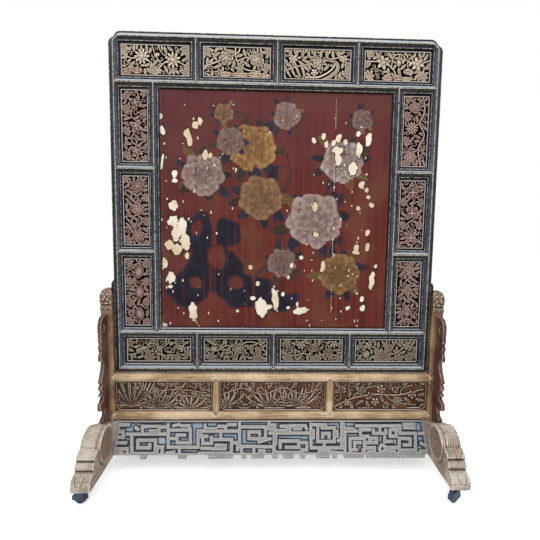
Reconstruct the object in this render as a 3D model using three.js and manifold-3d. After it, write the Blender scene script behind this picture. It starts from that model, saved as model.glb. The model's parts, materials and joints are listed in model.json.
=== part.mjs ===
// Standing floor screen in two parts: a framed panel that lifts out of a footed stand on casters.
// Millimetres, +Z up, +X to the right of someone facing the screen, front towards -Y.
// The origin is on the floor, midway between the feet.

import * as THREE from "three";
import * as BufferGeometryUtils from "three/addons/utils/BufferGeometryUtils.js";
import Module from "manifold-3d";

const wasm = await Module();
wasm.setup();

// Clearances
const faceGap = 0.3; // between pieces that meet face to face
const mitreGap = 0.2; // taken off a pointed or mitred end
const grooveSlack = 0.2; // beside a board edge in its groove

// Screen frame
const screenWidth = 1340; // over the outer stiles
const screenHeight = 1392; // bottom rail to top rail, outside edges
const memberWidth = 38; // every moulded member, across its face
const ridgeFront = 17; // ridge of the moulding, in front of the middle plane
const beadFront = 10.6; // bead along each edge of the moulding
const hollowFront = 9.2; // lowest line of the hollow beside the bead
const memberBack = 16; // flat back of the members
const pointSeat = 7; // floor of the notch that a pointed end lies in
const topBand = 175; // top rail ridge to upper cross rail ridge
const bottomBand = 156; // bottom rail ridge to lower cross rail ridge
const sideBand = 155; // outer stile ridge to inner stile ridge
const cornerIndent = 46; // length of the indented top corners along each edge

// Boards held in the frame
const grooveDepth = 6;
const grooveFront = 2; // front wall of the groove, in front of the middle plane
const grooveBack = 7; // back wall of the groove
const borderWidth = 3.5; // raised line round each pierced field
const borderRise = 2.8;
const endMargin = 12; // flat surround at the ends of the long panels and above and below
const sideMargin = 8.5; // flat surround beside the upright panels
const battenHeight = 34;
const battenDepth = 8;
const backingThickness = 1.5; // thin black board behind each pierced field
const stemRise = 2; // carving in front of the flat surround
const rockRise = 2.8;
const leafRise = 3.4;
const bloomRise = 5;

// Tongues that guide the screen in the posts
const tongueReach = 12; // beyond the stile
const tongueThickness = 13;
const tongueRise = 28; // above the posts when the screen is down
const tongueSideSlack = 0.6;
const tongueEndSlack = 2;

// Stand
const footBottom = 62;
const footWidth = 72;
const footLength = 616;
const toeSteps = [ // behind the tip and above the underside: toe, lower roll, upper roll
  [5, 0], [0, 14], [3, 32], [13, 46], [28, 55], [50, 57],
  [44, 61], [37, 68], [37, 78], [44, 86], [60, 88],
  [55, 92], [51, 99], [56, 107], [68, 114], [86, 119], [104, 121],
];
const lowerRailBottom = 187;
const lowerRailHeight = 38;
const reliefHeight = 133; // opening between the two rails
const upperRailHeight = 36;
const postWidth = 50;
const postDepth = 60;
const postSlack = 3; // stile to post
const postNeck = 271; // upper rail top to the neck under the post head
const headHeight = 95;
const tenonWidth = 26;
const tenonDepth = 36;
const tenonLength = 56;
const shoulderSeat = 18; // half thickness of a rail behind its pointed ends
const shortPostWidth = 30;
const shortPostOffset = 245;
const bracketThickness = 16;
const bracketReach = 95; // forward of the post
const reliefGroove = 9; // width of the groove that holds a relief panel
const reliefFront = 10; // relief board in front of the middle plane
const reliefBack = 6;
const reliefLine = 4; // width and rise of the raised line round a relief
const drumRadius = 72;
const drumCentreY = 150;
const drumCentreZ = 160;
const drumProud = 4; // drum face beyond the side of the foot
const drumRound = 20; // rounded outer edge of the drum

// Sloping apron
const apronThickness = 9; // behind the fret
const fretDepth = 5;
const fretSlot = 6;
const fretStrap = 13;
const apronSet = 10; // top edge behind the front of the rail above
const apronRun = 87; // forward from top edge to bottom edge
const apronDrop = 119; // down from top edge to bottom edge
const fretBays = 8;

// Casters
const wheelRadius = 23;
const wheelWidth = 16;
const wheelTrail = 16; // axle behind the swivel
const axleRadius = 3;
const axleSlack = 0.3;
const wheelSideGap = 0.6;
const cheekThickness = 3;
const hoodGap = 2;
const hoodThickness = 2.5;
const stemRadius = 5;
const stemSlack = 0.3;
const stemLength = 26;
const casterInset = 38; // swivel behind the tip of the toe

// Positions that follow from the sizes
const lowerRailTop = lowerRailBottom + lowerRailHeight;
const upperRailBottom = lowerRailTop + reliefHeight;
const upperRailTop = upperRailBottom + upperRailHeight;
const screenBottom = upperRailTop + faceGap;
const screenTop = screenBottom + screenHeight;
const postInner = screenWidth / 2 + postSlack;
const postCentre = postInner + postWidth / 2;
const neckHeight = upperRailTop + postNeck;
const headTop = neckHeight + headHeight;
const toeY = footLength / 2;
const memberHalf = memberWidth / 2;
const ridgeX = screenWidth / 2 - memberHalf;
const innerRidgeX = ridgeX - sideBand;
const topRidge = screenTop - memberHalf;
const bottomRidge = screenBottom + memberHalf;
const upperCross = topRidge - topBand;
const lowerCross = bottomRidge + bottomBand;

// Materials
function finish(color, roughness, metalness = 0) {
  return new THREE.MeshStandardMaterial({ color, roughness, metalness });
}
const darkLacquer = finish(0x2b2f38, 0.42);
const topCarving = finish(0x9a8a72, 0.62);
const sideCarving = finish(0x7d5a50, 0.6);
const bottomCarving = finish(0x7a6a55, 0.62);
const redLacquer = finish(0x6b3a33, 0.48);
const battenWood = finish(0x4a3527, 0.7);
const wornRail = finish(0xa98658, 0.5);
const postWood = finish(0x9b7048, 0.55);
const bracketWood = finish(0x5a332a, 0.5);
const reliefWood = finish(0x4d372c, 0.55);
const greyWood = finish(0x8b8a8a, 0.75);
const footWood = finish(0xa89a88, 0.7);
const blackSteel = finish(0x2e3d4d, 0.4, 0.3);
const blackRubber = finish(0x16191d, 0.6);

// Solids
function solidOf(geometry) {
  const bare = geometry.clone();
  bare.deleteAttribute("normal");
  bare.deleteAttribute("uv");
  const merged = BufferGeometryUtils.mergeVertices(bare, 1e-4);
  const mesh = new wasm.Mesh({
    numProp: 3,
    vertProperties: new Float32Array(merged.attributes.position.array),
    triVerts: new Uint32Array(merged.index.array),
  });
  return new wasm.Manifold(mesh);
}

function geometryOf(solid) {
  const mesh = solid.getMesh();
  const geometry = new THREE.BufferGeometry();
  geometry.setAttribute("position", new THREE.BufferAttribute(new Float32Array(mesh.vertProperties), 3));
  geometry.setIndex(new THREE.BufferAttribute(new Uint32Array(mesh.triVerts), 1));
  geometry.computeVertexNormals();
  return geometry;
}

function joined(solids) {
  return solids.reduce((sum, solid) => sum.add(solid));
}

function cut(solid, tools) {
  return tools.reduce((rest, tool) => rest.subtract(tool), solid);
}

// Outline in x and z, from yFront to yBack
function slabXZ(outline, yFront, yBack, hole) {
  const shape = new THREE.Shape(outline.map(([x, z]) => new THREE.Vector2(x, z)));
  if (hole) shape.holes.push(new THREE.Path(hole.map(([x, z]) => new THREE.Vector2(x, z))));
  const geometry = new THREE.ExtrudeGeometry(shape, { depth: yBack - yFront, bevelEnabled: false });
  geometry.rotateX(Math.PI / 2);
  geometry.translate(0, yBack, 0);
  return solidOf(geometry);
}

// Outline in y and z, from xLeft to xRight
function slabYZ(outline, xLeft, xRight, hole) {
  const shape = new THREE.Shape(outline.map(([y, z]) => new THREE.Vector2(y, z)));
  if (hole) shape.holes.push(new THREE.Path(hole.map(([y, z]) => new THREE.Vector2(y, z))));
  const geometry = new THREE.ExtrudeGeometry(shape, { depth: xRight - xLeft, bevelEnabled: false });
  const turn = new THREE.Matrix4();
  turn.makeBasis(new THREE.Vector3(0, 1, 0), new THREE.Vector3(0, 0, 1), new THREE.Vector3(1, 0, 0));
  geometry.applyMatrix4(turn);
  geometry.translate(xLeft, 0, 0);
  return solidOf(geometry);
}

// Outline in x and y, from zLow to zHigh
function slabXY(outline, zLow, zHigh) {
  const shape = new THREE.Shape(outline.map(([x, y]) => new THREE.Vector2(x, y)));
  const geometry = new THREE.ExtrudeGeometry(shape, { depth: zHigh - zLow, bevelEnabled: false });
  geometry.translate(0, 0, zLow);
  return solidOf(geometry);
}

function box(x0, x1, y0, y1, z0, z1) {
  const geometry = new THREE.BoxGeometry(x1 - x0, y1 - y0, z1 - z0);
  geometry.translate((x0 + x1) / 2, (y0 + y1) / 2, (z0 + z1) / 2);
  return solidOf(geometry);
}

function rect(x0, x1, z0, z1) {
  return [[x0, z0], [x1, z0], [x1, z1], [x0, z1]];
}

// Round bar along axis "y" or "z"
function rod(radius, low, high, axis, sides, at = [0, 0, 0]) {
  const geometry = new THREE.CylinderGeometry(radius, radius, high - low, sides);
  geometry.translate(0, (low + high) / 2, 0);
  if (axis === "z") geometry.rotateX(Math.PI / 2);
  geometry.translate(...at);
  return solidOf(geometry);
}

const screenGroup = new THREE.Group();
const standGroup = new THREE.Group();
const piece = new THREE.Group();
piece.add(screenGroup, standGroup);

function addMesh(group, name, solid, material, position = [0, 0, 0], rotation = [0, 0, 0]) {
  const mesh = new THREE.Mesh(geometryOf(solid), material);
  mesh.name = name;
  mesh.position.set(...position);
  mesh.rotation.set(...rotation);
  group.add(mesh);
  return mesh;
}

// Moulded section: pairs of depth y and height across the face, ridge in the middle
function halfSection(grooved) {
  const edge = memberHalf;
  const rise = ridgeFront - hollowFront;
  const groove = [
    [grooveBack, edge],
    [grooveBack, edge - grooveDepth],
    [-grooveFront, edge - grooveDepth],
    [-grooveFront, edge],
  ];
  return [
    [memberBack, edge],
    ...(grooved ? groove : []),
    [-beadFront, edge],
    [-beadFront, edge - 2.8],
    [-hollowFront, edge - 4],
    [-(hollowFront + rise * 0.4), edge * 0.4],
  ];
}

function section(grooved) {
  const upper = halfSection(grooved);
  const lower = upper.map(([y, u]) => [y, -u]).reverse();
  return [...upper, [-ridgeFront, 0], ...lower];
}

// A section carried through stations, each a pair of points on the inner and the outer edge
function carried(profile, stations) {
  const rows = stations.map(({ inner, outer }) =>
    profile.map(([y, u]) => {
      const share = (u + memberHalf) / memberWidth;
      const x = inner[0] + (outer[0] - inner[0]) * share;
      const z = inner[1] + (outer[1] - inner[1]) * share;
      return [x, y, z];
    }));
  const count = profile.length;
  const points = rows.flat();
  const triangles = [];
  for (let row = 0; row + 1 < rows.length; row++) {
    for (let i = 0; i < count; i++) {
      const next = (i + 1) % count;
      const a = row * count + i;
      const b = row * count + next;
      const c = (row + 1) * count + next;
      const d = (row + 1) * count + i;
      triangles.push(a, b, c, a, c, d);
    }
  }
  const flat = profile.map(([y, u]) => new THREE.Vector2(y, u));
  const last = (rows.length - 1) * count;
  for (const [a, b, c] of THREE.ShapeUtils.triangulateShape(flat, [])) {
    triangles.push(a, c, b);
    triangles.push(last + a, last + b, last + c);
  }
  const geometry = new THREE.BufferGeometry();
  geometry.setAttribute("position", new THREE.Float32BufferAttribute(points.flat(), 3));
  geometry.setIndex(triangles);
  return solidOf(geometry);
}

// Stations of a mitred end; an indented corner fans round the inner corner
function endStations(reach, indented) {
  const inner = [reach - memberHalf, -memberHalf];
  if (!indented) {
    return [{ inner, outer: [reach + memberHalf, memberHalf] }];
  }
  const size = cornerIndent;
  const cornerX = reach + memberHalf;
  const fan = [[1, 0, 0.2], [0.72, 0.1, 0.1], [0.54, 0.34, 0.03], [0.467, 0.467, 0]];
  return fan.map(([back, down, spread]) => ({
    inner: [inner[0] - spread * size, inner[1]],
    outer: [cornerX - back * size, memberHalf - down * size],
  }));
}

// Notch for a pointed end that arrives at position along, from side +1 (up) or -1 (down)
function pointNotch(along, side) {
  const far = memberWidth;
  const outline = [[along, 0], [along + far, side * far], [along - far, side * far]];
  return slabXZ(outline, -2 * ridgeFront, -pointSeat + grooveSlack);
}

// Everything beyond a pointed end whose tip is at x = reach
function beyondPoint(reach) {
  const tip = reach - mitreGap;
  const far = memberWidth;
  const outline = [[tip, 0], [tip - far, far], [reach + far, far], [reach + far, -far], [tip - far, -far]];
  const frontCut = slabXZ(outline, -2 * ridgeFront, -pointSeat);
  const shoulder = reach - memberHalf - faceGap;
  const backCut = box(shoulder, reach + far, -pointSeat - 0.01, 2 * memberBack, -far, far);
  return frontCut.add(backCut);
}

// Mirror image across the plane x = 0, or y = 0 with signs 1 and -1
function mirrored(solid, signX = -1, signY = 1) {
  const geometry = geometryOf(solid);
  geometry.scale(signX, signY, 1);
  const index = geometry.index.array;
  for (let i = 0; i < index.length; i += 3) {
    [index[i], index[i + 1]] = [index[i + 1], index[i]];
  }
  return solidOf(geometry);
}

// Member between two ridge points of the frame, both [x, z]; its upper side lies to the left of the way
function placeMember(name, from, to, solid) {
  const turn = Math.atan2(from[1] - to[1], to[0] - from[0]);
  const middle = [(from[0] + to[0]) / 2, 0, (from[1] + to[1]) / 2];
  return addMesh(screenGroup, name, solid, darkLacquer, middle, [0, turn, 0]);
}

function spanOf(from, to) {
  return Math.hypot(to[0] - from[0], to[1] - from[1]);
}

// Outer member, mitred at both ends, outer edge up; notches are distances along it from its middle
function outerMember(name, from, to, indentStart, indentEnd, notches, extra = []) {
  const reach = spanOf(from, to) / 2 - mitreGap;
  const end = endStations(reach, indentEnd);
  const start = endStations(reach, indentStart)
    .map(({ inner, outer }) => ({ inner: [-inner[0], inner[1]], outer: [-outer[0], outer[1]] }))
    .reverse();
  const body = carried(section(false), [...start, ...end]);
  const groove = box(-reach, reach, -grooveFront, grooveBack, -memberHalf - 1, grooveDepth - memberHalf);
  const tools = [groove, ...notches.map((along) => pointNotch(along, -1))];
  placeMember(name, from, to, cut(joined([body, ...extra]), tools));
}

// Inner member with a pointed end on each ridge; notches are [distance from the middle, side]
function innerMember(name, from, to, notches) {
  const reach = spanOf(from, to) / 2;
  const bar = slabYZ(section(true), -reach, reach);
  const beyond = beyondPoint(reach);
  const tools = [beyond, mirrored(beyond), ...notches.map(([along, side]) => pointNotch(along, side))];
  placeMember(name, from, to, cut(bar, tools));
}

const muntinXs = [-ridgeX / 2, 0, ridgeX / 2];
const sideStep = (upperCross - lowerCross) / 3;
const sideMuntinZs = [lowerCross + 2 * sideStep, lowerCross + sideStep];
const ringMiddle = (topRidge + bottomRidge) / 2;

// Guide tongue on the outer edge of a stile, in the stile's own frame: x runs from foot to head times way
function guideTongue(way) {
  const low = upperRailTop + faceGap + tongueEndSlack + 4 - ringMiddle;
  const high = headTop + tongueRise - ringMiddle;
  const outline = [
    [way * low, memberHalf - 1],
    [way * high, memberHalf - 1],
    [way * (high - 2), memberHalf + tongueReach * 0.6],
    [way * (high - 12), memberHalf + tongueReach],
    [way * low, memberHalf + tongueReach],
  ];
  return slabXZ(way > 0 ? outline : outline.reverse(), -tongueThickness / 2, tongueThickness / 2);
}

function buildFrame() {
  const corners = {
    topLeft: [-ridgeX, topRidge],
    topRight: [ridgeX, topRidge],
    bottomRight: [ridgeX, bottomRidge],
    bottomLeft: [-ridgeX, bottomRidge],
  };
  const crossings = [upperCross, ...sideMuntinZs, lowerCross].map((z) => z - ringMiddle);
  outerMember("top_rail", corners.topLeft, corners.topRight, true, true, muntinXs);
  outerMember("right_outer_stile", corners.topRight, corners.bottomRight, true, false,
    crossings.map((along) => -along), [guideTongue(-1)]);
  outerMember("bottom_rail", corners.bottomRight, corners.bottomLeft, false, false, muntinXs);
  outerMember("left_outer_stile", corners.bottomLeft, corners.topLeft, false, true,
    crossings, [guideTongue(1)]);

  const above = muntinXs.map((x) => [x, 1]);
  const below = muntinXs.map((x) => [x, -1]);
  const stilesBelow = [[-innerRidgeX, -1], [innerRidgeX, -1]];
  const stilesAbove = [[-innerRidgeX, 1], [innerRidgeX, 1]];
  innerMember("upper_cross_rail", [-ridgeX, upperCross], [ridgeX, upperCross], [...above, ...stilesBelow]);
  innerMember("lower_cross_rail", [-ridgeX, lowerCross], [ridgeX, lowerCross], [...below, ...stilesAbove]);

  const middle = (upperCross + lowerCross) / 2;
  for (const [side, sign] of [["left", -1], ["right", 1]]) {
    const x = sign * innerRidgeX;
    const notches = sideMuntinZs.map((z) => [z - middle, -sign]);
    innerMember(`${side}_inner_stile`, [x, lowerCross], [x, upperCross], notches);
    sideMuntinZs.forEach((z, index) => {
      const outside = [sign * ridgeX, z];
      const inside = [x, z];
      const ends = sign < 0 ? [outside, inside] : [inside, outside];
      innerMember(`${side}_side_muntin_${index + 1}`, ...ends, []);
    });
  }
  muntinXs.forEach((x, index) => {
    innerMember(`top_muntin_${index + 1}`, [x, upperCross], [x, topRidge], []);
    innerMember(`bottom_muntin_${index + 1}`, [x, bottomRidge], [x, lowerCross], []);
  });
}

// Pierced carving. Places are shares of the half field, sizes are hundredths of its shorter side.
function stem(width, ...places) {
  return { kind: "stem", width, places };
}
function leaf(place, length, width, angle) {
  return { kind: "leaf", place, length, width, angle };
}
function bloom(place, radius, petals, stretch = 1, turn = 0) {
  return { kind: "bloom", place, radius, petals, stretch, turn };
}
function rock(...places) {
  return { kind: "rock", places };
}

const designs = {
  top_1: [
    stem(5, [-1.02, 0.4], [-0.4, 0.2], [0, -0.4], [0.1, -1.02]),
    stem(5, [1.02, -0.45], [0.53, 0.05], [0.2, 1.02]),
    bloom([-0.4, 0.2], 28, 5, 0.9, 20), bloom([0.53, 0.05], 28, 5, 0.9, 20),
    leaf([-0.4, 0.2], 58, 20, 205), leaf([0, -0.4], 50, 18, 172), leaf([0, -0.4], 48, 17, 5),
    leaf([0.53, 0.05], 56, 19, 42), leaf([0.53, 0.05], 54, 18, -72),
    rock([-1.02, -1.02], [-1.02, -0.6], [-0.6, -0.5], [-0.3, -1.02]),
  ],
  top_2: [
    stem(5, [-0.75, 1.02], [-0.35, 0.3], [-0.15, -0.35], [-0.3, -1.02]),
    stem(5, [0.3, 1.02], [0.6, 0.28], [0.45, -0.35], [0.7, -1.02]),
    bloom([-0.35, 0.3], 26, 5), bloom([0.6, 0.28], 26, 5),
    leaf([-0.35, 0.3], 54, 18, 190), leaf([-0.15, -0.35], 48, 17, 12), leaf([-0.15, -0.35], 54, 18, 186),
    leaf([0.6, 0.28], 52, 18, 8), leaf([0.6, 0.28], 50, 17, 158),
    rock([-0.65, -1.02], [-0.4, -0.66], [0.8, -0.7], [0.95, -1.02]),
  ],
  top_3: [
    stem(5, [-1.02, 0.5], [-0.5, 0.28], [0.02, 0.08], [0.48, 0.28], [1.02, 0.2]),
    stem(15, [0.9, -1.02], [0.62, -0.5], [0.48, 0.28]), bloom([0.02, 0.08], 24, 5),
    bloom([-0.5, 0.28], 18, 4), leaf([0.02, 0.08], 50, 16, 62), leaf([0.02, 0.08], 50, 16, 125),
    leaf([-0.5, 0.28], 66, 16, -62), leaf([-0.5, 0.28], 66, 16, 232), leaf([0.62, -0.5], 46, 15, 15),
    leaf([0.62, -0.5], 84, 16, 178),
  ],
  top_4: [
    stem(5, [-1.02, 0.35], [-0.42, 0.2], [-0.05, -0.3], [0.05, -1.02]),
    stem(5, [-0.1, 1.02], [0.15, 0.45], [0.62, 0.15], [1.02, 0.4]),
    bloom([-0.42, 0.2], 27, 6), bloom([0.62, 0.15], 27, 6),
    leaf([-0.42, 0.2], 58, 20, 218), leaf([-0.05, -0.3], 56, 22, -6), leaf([0.62, 0.15], 58, 19, -62),
    leaf([0.15, 0.45], 34, 16, 190), rock([-0.55, -1.02], [-0.35, -0.62], [0.1, -0.66], [0.3, -1.02]),
  ],
  bottom_1: [
    stem(4.5, [-1.02, -0.6], [-0.6, 0.1], [-0.2, 0.62], [0.05, -0.1], [0.1, -1.02]),
    stem(4.5, [0.05, -0.1], [0.42, 0.6], [0.7, -0.1], [1.02, 0.3]), bloom([0.7, -0.1], 18, 5),
    leaf([-0.6, 0.1], 50, 21, 205), leaf([-0.6, 0.1], 46, 18, -24), leaf([0.05, -0.1], 50, 16, 196),
    leaf([0.05, -0.1], 52, 16, -20), leaf([0.42, 0.6], 46, 14, 5), leaf([0.7, -0.1], 46, 16, -48),
  ],
  bottom_2: [
    stem(5, [-1.02, 0.35], [-0.62, 0.05], [-0.25, 0.4], [0.06, 0.05], [0, -1.02]),
    stem(6, [0.06, 0.05], [0.38, 0.62], [0.7, 0], [1.02, -0.35]),
    bloom([0.06, 0.05], 22, 5), bloom([-0.62, 0.05], 18, 4), bloom([0.7, 0], 18, 4),
    leaf([-0.25, 0.4], 46, 15, 262), leaf([0.06, 0.05], 56, 17, 212), leaf([0.06, 0.05], 58, 17, -30),
    leaf([0.7, 0], 46, 16, 245),
  ],
  bottom_3: [
    stem(5, [-1.02, -0.2], [-0.35, 0.5], [0, -0.1], [0.3, 0.4], [1.02, 0.5]),
    stem(5, [0, -0.1], [0.5, -0.4], [0.65, -1.02]), bloom([-0.35, 0.5], 17, 5), bloom([0.3, 0.4], 15, 4),
    leaf([0, -0.1], 56, 18, 196), leaf([0.3, 0.4], 60, 19, -22), leaf([0.5, -0.4], 50, 17, 12),
    leaf([0, -0.1], 48, 18, 240), leaf([-0.35, 0.5], 60, 16, 236),
  ],
  bottom_4: [
    stem(6, [-1.02, 0.1], [-0.55, 0.3], [-0.1, -0.5], [-0.05, -1.02]),
    stem(5, [-0.1, -0.5], [0.62, 0.15], [1.02, 0]),
    bloom([-0.55, 0.3], 20, 5), bloom([0.62, 0.15], 20, 5), leaf([-0.1, -0.5], 66, 16, 88),
    leaf([-0.1, -0.5], 58, 14, 132), leaf([-0.1, -0.5], 88, 14, 2), leaf([-0.1, -0.5], 82, 14, 180),
    leaf([0.62, 0.15], 44, 15, -58),
  ],
  left_1: [
    stem(5, [-0.1, 1.02], [0.1, 0.64], [-0.2, 0.3], [0.2, -0.04], [-0.2, -0.4], [0.1, -0.72], [0, -1.02]),
    stem(4, [1.02, 0.36], [-0.2, 0.3]), stem(4, [-1.02, -0.34], [-0.2, -0.4]),
    bloom([0.1, 0.64], 36, 4, 0.66, 10), bloom([0.2, -0.04], 36, 4, 0.66), bloom([0.1, -0.72], 36, 4, 0.66),
    leaf([-0.2, 0.3], 42, 20, 236), leaf([-0.2, 0.3], 42, 19, 128), leaf([-0.2, -0.4], 42, 18, 236),
    leaf([0.2, -0.04], 44, 16, -50),
  ],
  left_2: [
    stem(5, [0.1, 1.02], [0.2, 0.66], [-0.2, 0.35], [0.2, 0], [-0.2, -0.4], [0.2, -0.72], [0, -1.02]),
    stem(4, [-1.02, 0.4], [-0.2, 0.35]), stem(6, [-0.2, -0.4], [1.02, -0.5]),
    bloom([0.2, 0.66], 28, 5, 0.9), bloom([0.2, 0], 28, 5, 0.95), bloom([0.2, -0.72], 28, 5, 0.9),
    leaf([-0.2, 0.35], 44, 19, 244), leaf([0.2, 0], 56, 16, 196), leaf([0.2, -0.72], 56, 16, 165),
    leaf([0.2, 0.66], 50, 16, -58),
  ],
  left_3: [
    stem(5, [-0.2, 1.02], [0.15, 0.66], [-0.2, 0.33], [0.2, 0], [-0.2, -0.38], [0.15, -0.7], [0, -1.02]),
    stem(4, [-0.2, 0.33], [1.02, 0.4]), stem(4, [-1.02, -0.3], [-0.2, -0.38]),
    bloom([0.15, 0.66], 31, 5, 0.66, 20), bloom([0.2, 0], 32, 5, 0.62), bloom([0.15, -0.7], 32, 5, 0.66, -24),
    leaf([-0.2, 0.33], 48, 20, 242), leaf([0.2, 0], 44, 14, -24), leaf([-0.2, -0.38], 46, 20, 240),
    leaf([0.15, -0.7], 44, 14, 24),
  ],
  right_1: [
    stem(6, [0.45, 1.02], [0.55, 0.45], [-0.3, 0.06], [0.4, -0.36], [0.6, -1.02]),
    stem(4, [-1.02, 0.6], [-0.2, 0.66], [0.55, 0.45]), stem(4, [-1.02, -0.66], [-0.3, -0.7], [0.4, -0.36]),
    bloom([-0.2, 0.66], 26, 5, 0.9), bloom([-0.3, 0.06], 28, 5, 0.95), bloom([-0.3, -0.7], 26, 5, 0.9),
    leaf([0.55, 0.45], 54, 14, 262), leaf([0.4, -0.36], 50, 14, 72), leaf([0.4, -0.36], 54, 14, 288),
  ],
  right_2: [
    stem(5, [0, 1.02], [0.05, 0.66], [-0.4, 0.35], [0.1, 0], [0.4, -0.36], [0.05, -0.7], [0, -1.02]),
    stem(4, [-0.4, 0.35], [1.02, 0.3]), stem(4, [-1.02, -0.3], [0.4, -0.36]),
    bloom([0.05, 0.66], 35, 4, 1, 45), bloom([0.1, 0], 35, 4, 1, 45), bloom([0.05, -0.7], 35, 4, 1, 45),
    leaf([-0.4, 0.35], 42, 16, 285), leaf([0.4, -0.36], 40, 15, 72), leaf([0.1, 0], 50, 15, 192),
  ],
  right_3: [
    stem(5, [0, 1.02], [0.1, 0.68], [-0.5, 0.35], [0.2, 0], [-0.5, -0.35], [0.1, -0.7], [0.1, -1.02]),
    stem(4, [-1.02, 0.45], [-0.5, 0.35]), stem(4, [-0.5, -0.35], [1.02, -0.35]),
    leaf([0.1, 0.68], 52, 18, 50), leaf([0.1, 0.68], 54, 18, -42), leaf([0.2, 0], 48, 18, 55),
    leaf([0.2, 0], 54, 18, 138), leaf([0.2, 0], 48, 18, -48), leaf([0.1, -0.7], 50, 18, 55),
    leaf([0.1, -0.7], 52, 18, 140),
  ],
};

function shapePoints(item, halfWidth, halfHeight) {
  const unit = Math.min(halfWidth, halfHeight) / 50;
  const at = ([u, v]) => [u * halfWidth, v * halfHeight];
  if (item.kind === "rock") return item.places.map(at);
  if (item.kind === "stem") return strip(item.width * unit, item.places.map(at));
  const [x, z] = at(item.place);
  if (item.kind === "leaf") {
    const turn = THREE.MathUtils.degToRad(item.angle);
    const lens = [[-2, -2], [item.length * 0.45, -item.width / 2], [item.length, 0],
      [item.length * 0.45, item.width / 2], [-2, 2]];
    return lens.map(([a, b]) => [
      x + (a * Math.cos(turn) - b * Math.sin(turn)) * unit,
      z + (a * Math.sin(turn) + b * Math.cos(turn)) * unit,
    ]);
  }
  const turn = THREE.MathUtils.degToRad(item.turn);
  const steps = item.petals * 2;
  return Array.from({ length: steps }, (_, i) => {
    const angle = (i / steps) * 2 * Math.PI + Math.PI / 2;
    const radius = item.radius * unit * (i % 2 ? 0.28 + 0.07 * item.petals : 1);
    const a = radius * Math.cos(angle) * item.stretch;
    const b = radius * Math.sin(angle);
    return [x + a * Math.cos(turn) - b * Math.sin(turn), z + a * Math.sin(turn) + b * Math.cos(turn)];
  });
}

// Strip of even width along a bent line, mitred at the bends
function strip(width, points) {
  const ways = points.slice(1).map(([x, z], i) => {
    const [fromX, fromZ] = points[i];
    return new THREE.Vector2(x - fromX, z - fromZ).normalize();
  });
  const left = [];
  const right = [];
  points.forEach(([x, z], i) => {
    const before = ways[Math.max(i - 1, 0)];
    const after = ways[Math.min(i, ways.length - 1)];
    const across = new THREE.Vector2(-before.y - after.y, before.x + after.x).normalize();
    const reach = width / 2 / (across.y * after.x - across.x * after.y);
    left.push([x + across.x * reach, z + across.y * reach]);
    right.push([x - across.x * reach, z - across.y * reach]);
  });
  return [...right, ...left.reverse()];
}

const boardFront = -(grooveFront - grooveSlack);
const boardBack = grooveBack - grooveSlack;

function carving(item, halfWidth, halfHeight) {
  const outline = shapePoints(item, halfWidth, halfHeight);
  const rise = { stem: stemRise, leaf: leafRise, bloom: bloomRise, rock: rockRise }[item.kind];
  return slabXZ(outline, boardFront - rise, boardBack - backingThickness / 2);
}

// Flat surround, raised line and pierced carved field over a thin backing, centred on the origin
function carvedPanel(openWidth, openHeight, marginX, marginZ, design) {
  const edge = grooveDepth - faceGap;
  const halfWidth = openWidth / 2 - marginX;
  const halfHeight = openHeight / 2 - marginZ;
  const outerX = openWidth / 2 + edge;
  const outerZ = openHeight / 2 + edge;
  const outside = rect(-outerX, outerX, -outerZ, outerZ);
  const field = rect(-halfWidth, halfWidth, -halfHeight, halfHeight);
  const wide = halfWidth + borderWidth;
  const tall = halfHeight + borderWidth;
  const board = slabXZ(outside, boardFront, boardBack, field);
  const border = slabXZ(rect(-wide, wide, -tall, tall), boardFront - borderRise, boardFront + 0.5, field);
  const reach = [-halfWidth - 1, halfWidth + 1];
  const window = box(...reach, -ridgeFront, memberBack, -halfHeight - 1, halfHeight + 1);
  const carved = joined(design.map((item) => carving(item, halfWidth, halfHeight))).intersect(window);
  const backing = box(...reach, boardBack - backingThickness, boardBack, -halfHeight - 1, halfHeight + 1);
  return joined([board, border, backing, carved]);
}

function buildPanels() {
  const columns = [-ridgeX, ...muntinXs, ridgeX];
  for (const [row, low, high, material] of [
    ["top", upperCross, topRidge, topCarving],
    ["bottom", bottomRidge, lowerCross, bottomCarving],
  ]) {
    for (let i = 0; i < 4; i++) {
      const width = columns[i + 1] - columns[i] - memberWidth;
      const height = high - low - memberWidth;
      const solid = carvedPanel(width, height, endMargin, endMargin, designs[`${row}_${i + 1}`]);
      const middle = [(columns[i] + columns[i + 1]) / 2, 0, (low + high) / 2];
      addMesh(screenGroup, `${row}_carved_panel_${i + 1}`, solid, material, middle);
    }
  }
  for (const [side, sign] of [["left", -1], ["right", 1]]) {
    for (let i = 0; i < 3; i++) {
      const width = sideBand - memberWidth;
      const height = sideStep - memberWidth;
      const solid = carvedPanel(width, height, sideMargin, endMargin, designs[`${side}_${i + 1}`]);
      const middle = [(sign * (ridgeX + innerRidgeX)) / 2, 0, upperCross - sideStep * (i + 0.5)];
      addMesh(screenGroup, `${side}_carved_panel_${i + 1}`, solid, sideCarving, middle);
    }
  }
}

function buildPaintedBoard() {
  const edge = grooveDepth - faceGap;
  const halfWidth = innerRidgeX - memberHalf;
  const low = lowerCross + memberHalf;
  const high = upperCross - memberHalf;
  const middle = [0, 0, (low + high) / 2];
  const tall = (high - low) / 2;
  const board = box(-halfWidth - edge, halfWidth + edge, boardFront, boardBack, -tall - edge, tall + edge);
  addMesh(screenGroup, "painted_board", board, redLacquer, middle);
  const back = boardBack + faceGap;
  const reach = halfWidth - faceGap;
  for (const [name, share] of [["upper_back_batten", 0.5], ["lower_back_batten", -0.5]]) {
    const outline = [
      [back, -battenHeight / 2],
      [back, battenHeight / 2],
      [back + battenDepth, battenHeight / 2 - 3],
      [back + battenDepth, -battenHeight / 2 + 3],
    ];
    const position = [0, 0, middle[2] + share * tall];
    addMesh(screenGroup, name, slabYZ(outline, -reach, reach), battenWood, position);
  }
}

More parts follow.
